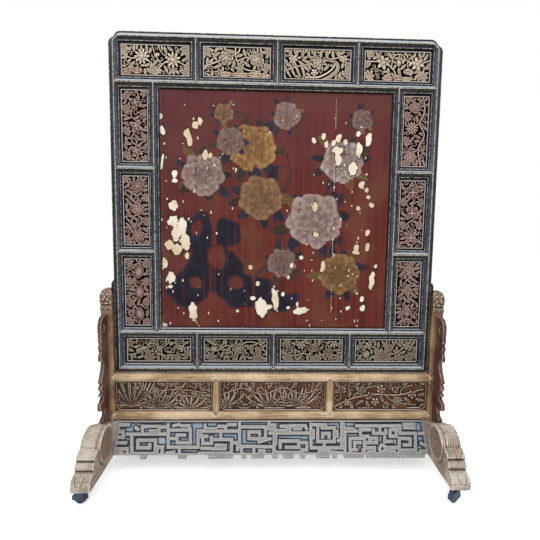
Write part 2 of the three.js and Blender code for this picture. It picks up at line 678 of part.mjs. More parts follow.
// Rounded rail section of a given height, the same front and back
function railSection(height) {
  const half = height / 2;
  const deep = postDepth / 2;
  const front = [
    [-(deep - 18), half],
    [-(deep - 8), half * 0.92],
    [-(deep - 2.2), half * 0.62],
    [-deep, half * 0.2],
  ];
  const lowerFront = front.map(([y, z]) => [y, -z]).reverse();
  const quarter = [...front, ...lowerFront];
  return [...quarter, ...quarter.map(([y, z]) => [-y, -z])];
}

// What lies beyond a pointed end of a rail, front and back of its core
function beyondRailPoint(reach, half) {
  const tip = reach - mitreGap;
  const far = 2 * half;
  const outline = [[tip, 0], [tip - far, far], [reach + far, far], [reach + far, -far], [tip - far, -far]];
  const deep = postDepth;
  const seat = shoulderSeat + 0.01;
  const core = box(reach - half - faceGap, reach + far, -seat, seat, -far, far);
  return joined([slabXZ(outline, -deep, -shoulderSeat), slabXZ(outline, shoulderSeat, deep), core]);
}

// Notch that takes a pointed end: base line on the edge, tip half a rail height inside
function railNotch(base, tip) {
  const [bx, bz] = base;
  const [tx, tz] = tip;
  const far = 3;
  const across = [-(tz - bz) * far, (tx - bx) * far];
  const back = [bx - (tx - bx) * (far - 1), bz - (tz - bz) * (far - 1)];
  const corner = (side) => [back[0] + side * across[0], back[1] + side * across[1]];
  const outline = [[tx, tz], corner(1), corner(-1)];
  const seat = shoulderSeat - grooveSlack;
  return slabXZ(outline, -postDepth, -seat).add(slabXZ(outline, seat, postDepth));
}

function grooveBox(x0, x1, z0, z1) {
  return box(x0, x1, -reliefGroove / 2, reliefGroove / 2, z0, z1);
}

function buildRails() {
  const lowerMiddle = lowerRailBottom + lowerRailHeight / 2;
  const upperMiddle = upperRailBottom + upperRailHeight / 2;
  for (const [name, middle, height, way] of [
    ["upper_stand_rail", upperMiddle, upperRailHeight, -1],
    ["lower_stand_rail", lowerMiddle, lowerRailHeight, 1],
  ]) {
    const half = height / 2;
    const reach = postInner + half;
    const bar = slabYZ(railSection(height), -reach, reach);
    const beyond = beyondRailPoint(reach, half);
    const tools = [beyond, mirrored(beyond)];
    for (const x of [-shortPostOffset, shortPostOffset]) {
      tools.push(railNotch([x, way * half], [x, way * (half - shortPostWidth / 2)]));
    }
    const grooveLow = way > 0 ? half - grooveDepth : -half - 1;
    tools.push(grooveBox(-reach - 1, reach + 1, grooveLow, grooveLow + grooveDepth + 1));
    addMesh(standGroup, name, cut(bar, tools), wornRail, [0, 0, middle]);
  }
  const tall = reliefHeight / 2 + shortPostWidth / 2;
  for (const [name, x] of [["left_short_post", -shortPostOffset], ["right_short_post", shortPostOffset]]) {
    const bar = slabYZ(railSection(shortPostWidth), -tall, tall);
    const beyond = beyondRailPoint(tall, shortPostWidth / 2);
    const half = shortPostWidth / 2;
    const slots = [
      grooveBox(-tall, tall, half - grooveDepth, half + 1),
      grooveBox(-tall, tall, -half - 1, grooveDepth - half),
    ];
    const solid = cut(bar, [beyond, mirrored(beyond), ...slots]);
    const position = [x, 0, (lowerRailTop + upperRailBottom) / 2];
    addMesh(standGroup, name, solid, wornRail, position, [0, -Math.PI / 2, 0]);
  }
}

// Low-relief panel: board, raised line with rounded lower corners, and raised blades and blooms
function reliefPanel(openWidth, blades) {
  const edge = grooveDepth - faceGap;
  const halfWidth = openWidth / 2;
  const halfHeight = reliefHeight / 2;
  const x = halfWidth - faceGap;
  const z = halfHeight - faceGap;
  const slab = box(-x, x, -reliefFront, reliefBack, -z, z);
  const tongue = reliefGroove / 2 - grooveSlack;
  const heldX = halfWidth + edge;
  const heldZ = halfHeight + edge;
  const held = box(-heldX, heldX, -tongue, tongue, -heldZ, heldZ);
  const fieldX = halfWidth - 20;
  const fieldZ = halfHeight - 12;
  const line = (inset) => {
    const right = fieldX - inset;
    const low = -fieldZ - 2 + inset;
    const high = fieldZ - inset;
    return [[-right, low + 14], [-right + 5, low + 4], [-right + 14, low], [right - 14, low],
      [right - 5, low + 4], [right, low + 14], [right, high], [-right, high]];
  };
  const border = slabXZ(line(0), -reliefFront - reliefLine, 1 - reliefFront, line(reliefLine));
  const parts = blades.map((item) => {
    const rise = item.kind === "bloom" ? reliefLine * 1.1 : reliefLine * 0.85;
    return slabXZ(shapePoints(item, fieldX, fieldZ), -reliefFront - rise, 1 - reliefFront);
  });
  const window = slabXZ(line(1), -reliefFront - 2 * reliefLine, 2 - reliefFront);
  return joined([slab, held, border, joined(parts).intersect(window)]);
}

const reliefDesigns = {
  left: [
    leaf([-0.7, -0.8], 100, 12, 92), leaf([-0.68, -0.8], 120, 12, 52), leaf([-0.65, -0.8], 200, 13, 24),
    leaf([-0.45, -0.78], 170, 12, 10), leaf([0.05, -0.1], 140, 11, 14), bloom([0.02, 0.1], 14, 4),
    bloom([0.6, -0.3], 14, 4), bloom([0.8, 0.45], 12, 4),
  ],
  centre: [
    stem(6, [-0.85, -0.6], [-0.4, 0.4], [0.2, 0.3], [0.8, 0.7]), bloom([-0.25, -0.2], 18, 4),
    leaf([-0.4, 0.4], 90, 13, -42), leaf([0.2, 0.3], 120, 14, -22), leaf([0.3, -0.7], 130, 13, 14),
    leaf([-0.9, 0.55], 80, 12, -12), rock([-0.6, -0.95], [-0.4, -0.5], [0.1, -0.55], [0.25, -0.95]),
  ],
  right: [
    stem(6, [0.9, -0.8], [0.3, -0.2], [-0.4, 0.3], [-0.85, 0.5]), bloom([-0.4, 0.3], 15, 4),
    bloom([0.3, 0.45], 15, 4), leaf([-0.3, 0.1], 100, 12, 205), leaf([0.3, -0.2], 100, 13, 235),
    leaf([0.3, -0.2], 100, 12, 62), leaf([0.6, -0.4], 90, 12, 35), leaf([-0.2, -0.5], 110, 11, 185),
  ],
};

function buildReliefPanels() {
  const outer = postInner - shortPostOffset - shortPostWidth / 2;
  const inner = 2 * shortPostOffset - shortPostWidth;
  const outerX = (postInner + shortPostOffset + shortPostWidth / 2) / 2;
  const z = (lowerRailTop + upperRailBottom) / 2;
  for (const [side, width, x] of [["left", outer, -outerX], ["centre", inner, 0], ["right", outer, outerX]]) {
    const solid = reliefPanel(width, reliefDesigns[side]);
    addMesh(standGroup, `${side}_relief_panel`, solid, reliefWood, [x, 0, z]);
  }
}

// Carved head on a post, front and back alike, standing on z = 0
function postHead() {
  const half = postWidth / 2;
  const deep = postDepth / 2;
  const tall = headHeight;
  const face = [
    [deep, 0], [deep + 6, 0.12], [deep + 3, 0.22], [deep - 3, 0.25], [deep - 3, 0.3],
    [deep + 7, 0.34], [deep + 6, 0.44], [deep + 2, 0.52], [deep + 6, 0.6], [deep + 4, 0.72],
    [deep - 4, 0.86], [deep - 16, 0.96],
  ].map(([y, share]) => [y, share * tall]);
  const side = [...face, [0, tall], ...face.map(([y, z]) => [-y, z]).reverse()];
  const dome = [
    [half, 0], [half, tall * 0.7], [half * 0.84, tall * 0.88], [half * 0.4, tall * 0.98],
    [-half * 0.4, tall * 0.98], [-half * 0.84, tall * 0.88], [-half, tall * 0.7], [-half, 0],
  ];
  let head = slabYZ(side, -half, half).intersect(slabXZ(dome, -2 * deep, 2 * deep));
  const eyeZ = tall * 0.53;
  for (const x of [-half * 0.42, half * 0.42]) {
    head = head.add(rod(half * 0.22, -deep - 8, deep + 8, "y", 6, [x, 0, eyeZ]));
  }
  return head;
}

function buildPosts() {
  const half = postWidth / 2;
  const deep = postDepth / 2;
  const round = 6;
  const plan = [
    [half, deep - round], [half - round * 0.3, deep - round * 0.3], [half - round, deep],
    [-half + round, deep], [-half + round * 0.3, deep - round * 0.3], [-half, deep - round],
    [-half, -deep + round], [-half + round * 0.3, -deep + round * 0.3], [-half + round, -deep],
    [half - round, -deep], [half - round * 0.3, -deep + round * 0.3], [half, -deep + round],
  ];
  const head = postHead();
  const headGeometry = geometryOf(head);
  headGeometry.translate(0, 0, neckHeight);
  const shaft = slabXY(plan, lowerRailBottom, neckHeight + 1);
  const tenon = box(-tenonWidth / 2, tenonWidth / 2, -tenonDepth / 2, tenonDepth / 2,
    lowerRailBottom - tenonLength, lowerRailBottom + 1);
  const slotHalf = tongueThickness / 2 + tongueSideSlack;
  const slotDeep = tongueReach - postSlack + tongueEndSlack;
  const lowerMiddle = lowerRailBottom + lowerRailHeight / 2;
  const upperMiddle = upperRailBottom + upperRailHeight / 2;
  const tools = [
    box(-half - 20, -half + slotDeep, -slotHalf, slotHalf, upperRailTop, headTop + 20),
    railNotch([-half, lowerMiddle], [-half + lowerRailHeight / 2, lowerMiddle]),
    railNotch([-half, upperMiddle], [-half + upperRailHeight / 2, upperMiddle]),
    grooveBox(-half - 1, -half + grooveDepth, lowerRailTop - 8, upperRailBottom + 8),
  ];
  const right = cut(joined([shaft, solidOf(headGeometry), tenon]), tools);
  addMesh(standGroup, "right_post", right, postWood, [postCentre, 0, 0]);
  addMesh(standGroup, "left_post", mirrored(right), postWood, [-postCentre, 0, 0]);
}

// Side view of a foot from the middle to the toe: distance from the middle, height
function footOutline() {
  const toe = toeSteps.map(([back, up]) => [toeY - back, footBottom + up]);
  const saddle = [
    [drumCentreY, drumCentreZ + drumRadius * 0.6],
    [drumCentreY - drumRadius * 0.64, drumCentreZ + drumRadius * 0.76],
    ...saddleCurve(),
  ];
  const half = [...toe, ...saddle];
  return [...half, ...half.map(([y, z]) => [-y, z]).reverse()];
}

// Top of the foot between drum and post, falling to the post's shoulder
function saddleCurve() {
  const start = drumCentreY - drumRadius * 0.7;
  const end = postDepth / 2 + 1;
  const high = drumCentreZ + drumRadius * 0.7 + 3;
  return [0, 0.4, 1].map((share) => [
    start + (end - start) * share,
    lowerRailBottom + (high - lowerRailBottom) * (1 - share) ** 1.25,
  ]);
}

// Drum on the right foot: recessed face on each side, rounded where the outer face meets the tread
function drum(y) {
  const wide = footWidth / 2 + drumProud;
  const recess = 3;
  const round = [0, 0.5, 1].map((share) => {
    const angle = share * Math.PI / 2;
    return [drumRadius - drumRound * 0.6 * (1 - Math.cos(angle)), wide - drumRound * (1 - Math.sin(angle))];
  });
  const profile = [
    [0, recess - wide], [drumRadius * 0.7, recess - wide], [drumRadius * 0.78, -wide], [drumRadius, -wide],
    ...round, [drumRadius * 0.78, wide], [drumRadius * 0.7, wide - recess], [0, wide - recess],
  ].map(([radius, along]) => new THREE.Vector2(radius, along));
  const geometry = new THREE.LatheGeometry(profile, 16);
  geometry.rotateZ(-Math.PI / 2);
  geometry.translate(0, y, drumCentreZ);
  return solidOf(geometry);
}

function buildFeet() {
  const casterY = toeY - casterInset;
  const block = slabYZ(footOutline(), -footWidth / 2, footWidth / 2);
  const mortise = box(-tenonWidth / 2 - faceGap, tenonWidth / 2 + faceGap, -tenonDepth / 2 - faceGap,
    tenonDepth / 2 + faceGap, lowerRailBottom - tenonLength - faceGap, lowerRailBottom + 30);
  const seat = box(-footWidth, footWidth, -postDepth / 2 - 1, postDepth / 2 + 1,
    lowerRailBottom - faceGap, lowerRailBottom + 60);
  const sockets = [-casterY, casterY].map((y) =>
    rod(stemRadius + stemSlack, footBottom - 1, footBottom + stemLength + 2, "z", 10, [0, y, 0]));
  const foot = cut(joined([block, drum(-drumCentreY), drum(drumCentreY)]), [mortise, seat, ...sockets]);
  addMesh(standGroup, "right_foot", foot, footWood, [postCentre, 0, 0]);
  addMesh(standGroup, "left_foot", mirrored(foot), footWood, [-postCentre, 0, 0]);
}

// Standing bracket in front of a post: scalloped board with a pierced scroll at the top
function bracketOutline() {
  const post = postDepth / 2 + faceGap;
  const base = lowerRailBottom;
  const tall = neckHeight - 8 - base;
  const edge = [
    [0.884, 0.09], [0.579, 0.115], [0.547, 0.16], [0.611, 0.18], [0.958, 0.185], [1, 0.215],
    [0.968, 0.255], [0.674, 0.275], [0.695, 0.3], [0.916, 0.315], [0.842, 0.33], [0.695, 0.335],
    [0.695, 0.345], [0.863, 0.365], [0.842, 0.4], [0.737, 0.405], [0.737, 0.42], [0.905, 0.43],
    [0.8, 0.455], [0.611, 0.52], [0.526, 0.57], [0.526, 0.6], [0.758, 0.61], [0.8, 0.66], [0.674, 0.7],
    [0.716, 0.71], [0.8, 0.74], [0.695, 0.755], [0.695, 0.77], [0.779, 0.79], [0.737, 0.85],
    [0.779, 0.89], [0.716, 0.955], [0.526, 0.99], [0.274, 1],
  ].map(([out, up]) => [post + bracketReach * out, base + tall * up]);
  const rest = saddleCurve().reverse().map(([y, z]) => [Math.max(y, post), z + faceGap]);
  const heel = [post + bracketReach * 0.78, drumCentreZ + drumRadius * 0.87 + 1];
  return [[post, base + 2], ...rest.slice(1), heel, ...edge, [post, base + tall]];
}

function buildBrackets() {
  const base = lowerRailBottom;
  const tall = neckHeight - 8 - base;
  const eyeY = postDepth / 2 + bracketReach * 0.484;
  const eyeZ = base + tall * 0.89;
  const eye = [
    [-0.137, -0.042], [-0.063, -0.168], [0.063, -0.147], [0.137, -0.021], [0.084, 0.137], [-0.063, 0.158],
  ].map(([out, up]) => [eyeY + bracketReach * out, eyeZ + bracketReach * up]);
  const back = slabYZ(bracketOutline(), -bracketThickness / 2, bracketThickness / 2, eye);
  for (const [side, sign] of [["left", -1], ["right", 1]]) {
    const place = [sign * postCentre, 0, 0];
    addMesh(standGroup, `${side}_back_bracket`, back, bracketWood, place);
    addMesh(standGroup, `${side}_front_bracket`, mirrored(back, 1, -1), bracketWood, place);
  }
}

// Key-fret apron in its own plane: x along, y up the slope from 0 at its lower edge, z out of its face
const apronSlope = Math.hypot(apronRun, apronDrop);

// Squared spiral slot of one bay, as a line of turns
function fretLine(x0, width, turned) {
  const pitch = fretStrap + fretSlot;
  const right = width - fretStrap - fretSlot / 2;
  const high = apronSlope - fretStrap - 10;
  const low = fretStrap + 16;
  const left = fretStrap + fretSlot / 2;
  const line = [
    [left, high], [right, high], [right, low], [left + pitch, low], [left + pitch, high - pitch],
    [right - pitch, high - pitch], [right - pitch, low + pitch],
  ];
  return line.map(([x, y]) => (turned ? [x0 + width - x, y] : [x0 + x, y]));
}

function apronLowerEdge(half, bay) {
  const edge = [];
  for (let i = 0; i < fretBays; i++) {
    const x0 = -half + i * bay;
    const high = i % 2 ? 0 : 9;
    const low = 9 - high;
    edge.push([x0 + bay * 0.12, high], [x0 + bay * 0.12, low], [x0 + bay * 0.44, low], [x0 + bay * 0.5, 2]);
    edge.push([x0 + bay * 0.56, low], [x0 + bay * 0.88, low], [x0 + bay * 0.88, high]);
  }
  return edge;
}

function apron() {
  const half = postCentre - footWidth / 2 - faceGap;
  const bay = (2 * half) / fretBays;
  const ends = [[half, 5], [half, apronSlope], [-half, apronSlope], [-half, 5]];
  const outline = [...apronLowerEdge(half, bay), ...ends];
  const board = slabXY(outline, -apronThickness - fretDepth, 0);
  const slots = [];
  for (let i = 0; i < fretBays; i++) {
    slots.push(slabXY(strip(fretSlot, fretLine(-half + i * bay, bay, i % 2 === 1)), -fretDepth, 5));
  }
  return cut(board, slots);
}

function buildAprons() {
  const topZ = lowerRailBottom - faceGap;
  const topY = apronSet - postDepth / 2;
  const lean = Math.atan2(apronDrop, apronRun);
  const bottom = new THREE.Vector3(0, topY - apronRun, topZ - apronDrop);
  const place = new THREE.Matrix4().makeRotationX(lean).setPosition(bottom);
  const level = new THREE.BoxGeometry(2 * screenWidth, footLength, apronDrop);
  level.translate(0, 0, topZ + apronDrop / 2);
  level.applyMatrix4(place.clone().invert());
  const solid = apron().subtract(solidOf(level));
  const front = addMesh(standGroup, "front_apron", solid, greyWood, bottom.toArray(), [lean, 0, 0]);
  const twin = new THREE.Group();
  twin.rotation.z = Math.PI;
  standGroup.add(twin);
  const back = front.clone();
  back.name = "back_apron";
  twin.add(back);
}

// Swivel caster: stem on the swivel line, axle trailing towards +x
function casterFork() {
  const top = footBottom - faceGap;
  const axleZ = wheelRadius;
  const inside = wheelWidth / 2 + wheelSideGap;
  const outside = inside + cheekThickness;
  const roof = wheelRadius + hoodGap + hoodThickness;
  const arc = Array.from({ length: 7 }, (_, i) => {
    const angle = THREE.MathUtils.degToRad(-12 + i * 34);
    return [wheelTrail + roof * Math.cos(angle), axleZ + roof * Math.sin(angle)];
  });
  const chin = [[wheelTrail - 9, axleZ - 9], [wheelTrail + 9, axleZ - 9]];
  const cheeks = slabXZ([...arc, ...chin], -outside, outside);
  const well = rod(wheelRadius + hoodGap, -inside, inside, "y", 14, [wheelTrail, 0, axleZ]);
  const below = box(wheelTrail - 60, wheelTrail + 60, -inside, inside, -20, axleZ - 6);
  const axle = rod(axleRadius, -outside, outside, "y", 8, [wheelTrail, 0, axleZ]);
  const neck = rod(outside + 2, axleZ + wheelRadius * 0.7, top - 3, "z", 10);
  const plate = rod(outside + 6, top - 4, top, "z", 14);
  const stemRod = rod(stemRadius, top - 2, top + stemLength, "z", 10);
  return joined([cut(joined([cheeks, neck, plate]), [well, below]), axle, stemRod]);
}

function casterWheel() {
  const bore = axleRadius + axleSlack;
  const half = wheelWidth / 2;
  const side = [[bore, half], [wheelRadius * 0.78, half], [wheelRadius, half - 4]];
  const profile = [...side.map(([radius, along]) => [radius, -along]), ...side.reverse(), [bore, -half]]
    .map(([radius, along]) => new THREE.Vector2(radius, along));
  return solidOf(new THREE.LatheGeometry(profile, 14));
}

function buildCasters() {
  const casterY = toeY - casterInset;
  const forkSolid = casterFork();
  const wheelSolid = casterWheel();
  for (const [name, across, along, turn] of [
    ["front_left", -1, -1, 172],
    ["front_right", 1, -1, 214],
    ["back_right", 1, 1, 352],
    ["back_left", -1, 1, 34],
  ]) {
    const swivel = new THREE.Group();
    swivel.position.set(across * postCentre, along * casterY, 0);
    swivel.rotation.z = THREE.MathUtils.degToRad(turn);
    standGroup.add(swivel);
    addMesh(swivel, `${name}_caster_fork`, forkSolid, blackSteel);
    addMesh(swivel, `${name}_caster_wheel`, wheelSolid, blackRubber, [wheelTrail, 0, wheelRadius]);
  }
}

buildFrame();
buildPanels();
buildPaintedBoard();
buildRails();
buildReliefPanels();
buildPosts();
buildFeet();
buildBrackets();
buildAprons();
buildCasters();

export default piece;
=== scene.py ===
import json
import math

import bmesh
import bpy
import numpy as np
from mathutils import Matrix, Vector


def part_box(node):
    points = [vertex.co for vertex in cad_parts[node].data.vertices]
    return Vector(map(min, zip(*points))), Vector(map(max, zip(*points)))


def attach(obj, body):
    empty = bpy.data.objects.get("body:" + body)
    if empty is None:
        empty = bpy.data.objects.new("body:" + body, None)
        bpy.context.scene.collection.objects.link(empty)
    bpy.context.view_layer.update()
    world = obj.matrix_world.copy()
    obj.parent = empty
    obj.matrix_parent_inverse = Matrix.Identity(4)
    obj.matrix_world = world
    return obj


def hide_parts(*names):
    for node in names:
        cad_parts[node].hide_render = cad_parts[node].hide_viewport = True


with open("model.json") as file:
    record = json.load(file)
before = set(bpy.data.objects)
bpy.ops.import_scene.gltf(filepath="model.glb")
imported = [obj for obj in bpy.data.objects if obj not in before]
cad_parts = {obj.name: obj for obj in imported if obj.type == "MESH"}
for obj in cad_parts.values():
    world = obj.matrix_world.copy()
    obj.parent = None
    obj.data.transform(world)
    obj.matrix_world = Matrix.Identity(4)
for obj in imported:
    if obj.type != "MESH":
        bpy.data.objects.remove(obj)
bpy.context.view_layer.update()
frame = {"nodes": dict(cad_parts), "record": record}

print("frame loaded", len(frame["nodes"]), "nodes")


# ---- small helpers ----

def linear(hexCode):
    channels = [int(hexCode[i:i + 2], 16) / 255 for i in (0, 2, 4)]
    return [c / 12.92 if c <= 0.04045 else ((c + 0.055) / 1.055) ** 2.4 for c in channels] + [1.0]


def addNode(tree, kind, settings=None, inputs=None):
    node = tree.nodes.new(kind)
    for key, value in (settings or {}).items():
        setattr(node, key, value)
    for key, value in (inputs or {}).items():
        if isinstance(value, bpy.types.NodeSocket):
            tree.links.new(value, node.inputs[key])
        else:
            node.inputs[key].default_value = value
    return node


def blended(tree, amount, first, second, kind="MIX"):
    node = addNode(tree, "ShaderNodeMix", {"data_type": "RGBA", "blend_type": kind, "clamp_factor": True},
                   {0: amount, 6: first, 7: second})
    return node.outputs[2]


def ranged(tree, value, low, high, toLow=0.0, toHigh=1.0):
    node = addNode(tree, "ShaderNodeMapRange", {"interpolation_type": "SMOOTHSTEP"},
                   {"Value": value, "From Min": low, "From Max": high, "To Min": toLow, "To Max": toHigh})
    return node.outputs[0]


def reckoned(tree, operation, first, second=0.0):
    return addNode(tree, "ShaderNodeMath", {"operation": operation}, {0: first, 1: second}).outputs[0]


def noiseOn(tree, coords, stretch, widthMm, detail=4.0, roughness=0.55, offset=(0, 0, 0)):
    place = addNode(tree, "ShaderNodeMapping", None, {"Vector": coords, "Scale": stretch, "Location": offset})
    return addNode(tree, "ShaderNodeTexNoise", None, {
        "Vector": place.outputs[0], "Scale": 1000 / widthMm, "Detail": detail, "Roughness": roughness,
    }).outputs[0]


# Aged timber: grain along one axis, a worn tone with painted highlights where a piece stands out or is rubbed, painted
# shade in its hollows, and on some finishes a pale colour on what faces up, part dust and part painted sheen
def agedTimber(name, look):
    material = bpy.data.materials.new(name)
    material.use_nodes = True
    tree = material.node_tree
    tree.nodes.clear()
    coords = addNode(tree, "ShaderNodeTexCoord").outputs["Object"]
    along = look.get("along", "x")
    long = look.get("stretch", 0.07)
    stretch = {"x": (long, 1, 1), "y": (1, long, 1), "z": (1, 1, long)}[along]
    grain = noiseOn(tree, coords, stretch, look["grainMm"], 5)
    broad = noiseOn(tree, coords, (1, 1, 1), look.get("patchMm", 90), 3, 0.5, (3.1, 1.7, 0.4))
    speck = noiseOn(tree, coords, (1, 1, 1), look.get("speckMm", 4), 3, 0.6, (0.3, 5.1, 2.2))
    base = blended(tree, ranged(tree, grain, 0.34, 0.66), linear(look["dark"]), linear(look["base"]))
    base = blended(tree, ranged(tree, broad, 0.42, 0.7), base, linear(look["patch"]))
    wornHighlight = addNode(tree, "ShaderNodeAttribute", {"attribute_name": "wearHighlight"}).outputs["Fac"]
    hollow = addNode(tree, "ShaderNodeAttribute", {"attribute_name": "hollow"}).outputs["Fac"]
    tone = addNode(tree, "ShaderNodeAttribute", {"attribute_name": "tone"}).outputs["Fac"]
    # worn tone where a piece is rubbed, also a painted highlight on raised parts and edges
    rubHighlight = reckoned(tree, "ADD", reckoned(tree, "MULTIPLY", wornHighlight, look.get("wearGain", 1.3)),
                   reckoned(tree, "MULTIPLY", reckoned(tree, "SUBTRACT", speck, 0.5), look.get("wearHighlightNoise", 1.6)))
    rubHighlight = ranged(tree, rubHighlight, look.get("wearHighlightFrom", 0.45), look.get("wearTo", 1.0), 0.0, look.get("wearHighlightMost", 0.9))
    rubHighlight = reckoned(tree, "MULTIPLY", rubHighlight, ranged(tree, wornHighlight, 0.02, 0.2))
    colour = blended(tree, reckoned(tree, "MULTIPLY", tone, look.get("toneGain", 0.0)), base, linear(look.get("tone", look["base"])))
    if look.get("dustAndSheen"):  # a pale colour on what faces up, part dust and part painted sheen, and a fainter painted blue sheen on what faces sideways
        facing = addNode(tree, "ShaderNodeSeparateXYZ", None, {0: addNode(tree, "ShaderNodeTexCoord").outputs["Normal"]}).outputs
        side = ranged(tree, reckoned(tree, "ABSOLUTE", facing[0]), 0.15, 0.7, 0.0, look.get("sideSheenMost", 0.45))
        side = reckoned(tree, "MULTIPLY", side, ranged(tree, broad, 0.35, 0.6, 0.5, 1.0))
        colour = blended(tree, side, colour, linear(look.get("sideSheen", look["dustAndSheen"])))
        up = reckoned(tree, "ADD", facing[2], reckoned(tree, "MULTIPLY", reckoned(tree, "SUBTRACT", grain, 0.5), 0.5))
        colour = blended(tree, ranged(tree, up, 0.12, 0.62, 0.0, look.get("dustAndSheenMost", 0.8)), colour, linear(look["dustAndSheen"]))
    colour = blended(tree, rubHighlight, colour, linear(look["wornHighlight"]))
    if look.get("painted"):  # pigment over the lacquer, thin where it is scuffed, then chips down to the pale ground coat
        pigment = addNode(tree, "ShaderNodeAttribute", {"attribute_name": "pigment"}).outputs["Color"]
        scuffed = addNode(tree, "ShaderNodeAttribute", {"attribute_name": "cover"}).outputs["Fac"]
        scuffed = reckoned(tree, "ADD", scuffed, reckoned(tree, "MULTIPLY", reckoned(tree, "SUBTRACT", grain, 0.5), 0.5))
        mottled = blended(tree, ranged(tree, grain, 0.5, 0.72, 0.0, 0.5), pigment, base)
        colour = blended(tree, ranged(tree, scuffed, 0.42, 0.56, 0.0, 0.94), colour, mottled)
        chip = addNode(tree, "ShaderNodeAttribute", {"attribute_name": "chip"}).outputs["Fac"]
        chip = reckoned(tree, "ADD", chip, reckoned(tree, "MULTIPLY", reckoned(tree, "SUBTRACT", speck, 0.5), 0.32))
        colour = blended(tree, ranged(tree, chip, 0.36, 0.44, 0.0, 0.75), colour, linear("1c1210"))
        colour = blended(tree, ranged(tree, chip, 0.5, 0.56), colour, blended(
            tree, ranged(tree, broad, 0.4, 0.6), linear("e2d8c6"), linear("cdb697")))
    # painted shade: darkens hollows, recesses and the backs of pieces
    colour = blended(tree, ranged(tree, reckoned(tree, "ADD", hollow, reckoned(tree, "MULTIPLY", reckoned(tree, "SUBTRACT", speck, 0.5), 0.5)),
                                  0.25, 0.85, 0.0, look.get("hollowMost", 0.85)), colour, linear(look["hollow"]))
    rough = ranged(tree, grain, 0.3, 0.7, look["gloss"][0], look["gloss"][1])
    rough = reckoned(tree, "ADD", rough, reckoned(tree, "MULTIPLY", rubHighlight, look.get("wearRough", 0.12)))
    height = reckoned(tree, "ADD", reckoned(tree, "MULTIPLY", grain, 0.6), reckoned(tree, "MULTIPLY", speck, 0.4))
    bump = addNode(tree, "ShaderNodeBump", None, {"Strength": look.get("bump", 0.35), "Distance": look.get("bumpMm", 0.5) / 1000,
                                                  "Height": height})
    shader = addNode(tree, "ShaderNodeBsdfPrincipled", None, {
        "Base Color": colour, "Roughness": rough, "Normal": bump.outputs[0], "IOR": look.get("ior", 1.4),
        "Coat Weight": look.get("coat", 0.0), "Coat Roughness": look.get("coatRough", 0.2),
    })
    tree.links.new(shader.outputs[0], addNode(tree, "ShaderNodeOutputMaterial").inputs[0])
    return material


def meshFrom(name, points, faces, material, values=None, smooth=True, angle=0.6):
    mesh = bpy.data.meshes.new(name)
    mesh.from_pydata((np.asarray(points, float) / 1000).tolist(), [], faces if isinstance(faces, list) else faces.tolist())
    mesh.materials.append(material)
    for key, array in (values or {}).items():
        mesh.attributes.new(key, "FLOAT", "POINT").data.foreach_set("value", np.asarray(array, np.float32))
    mesh.polygons.foreach_set("use_smooth", [smooth] * len(mesh.polygons))
    if smooth and angle:
        mesh.set_sharp_from_angle(angle=angle)
    piece = bpy.data.objects.new(name, mesh)
    bpy.context.scene.collection.objects.link(piece)
    return piece


def settled(piece, body, nodes=()):
    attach(piece, body)
    if nodes:
        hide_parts(*nodes)
    return piece


def paint(nodeNames, material):
    for nodeName in nodeNames:
        for slot in frame["nodes"][nodeName].material_slots:
            slot.material = material


def eased(edge0, edge1, value):
    t = np.clip((value - edge0) / (edge1 - edge0), 0, 1)
    return t * t * (3 - 2 * t)


# ---- mitred rings: the mouldings follow each opening, made by one tree of geometry nodes ----

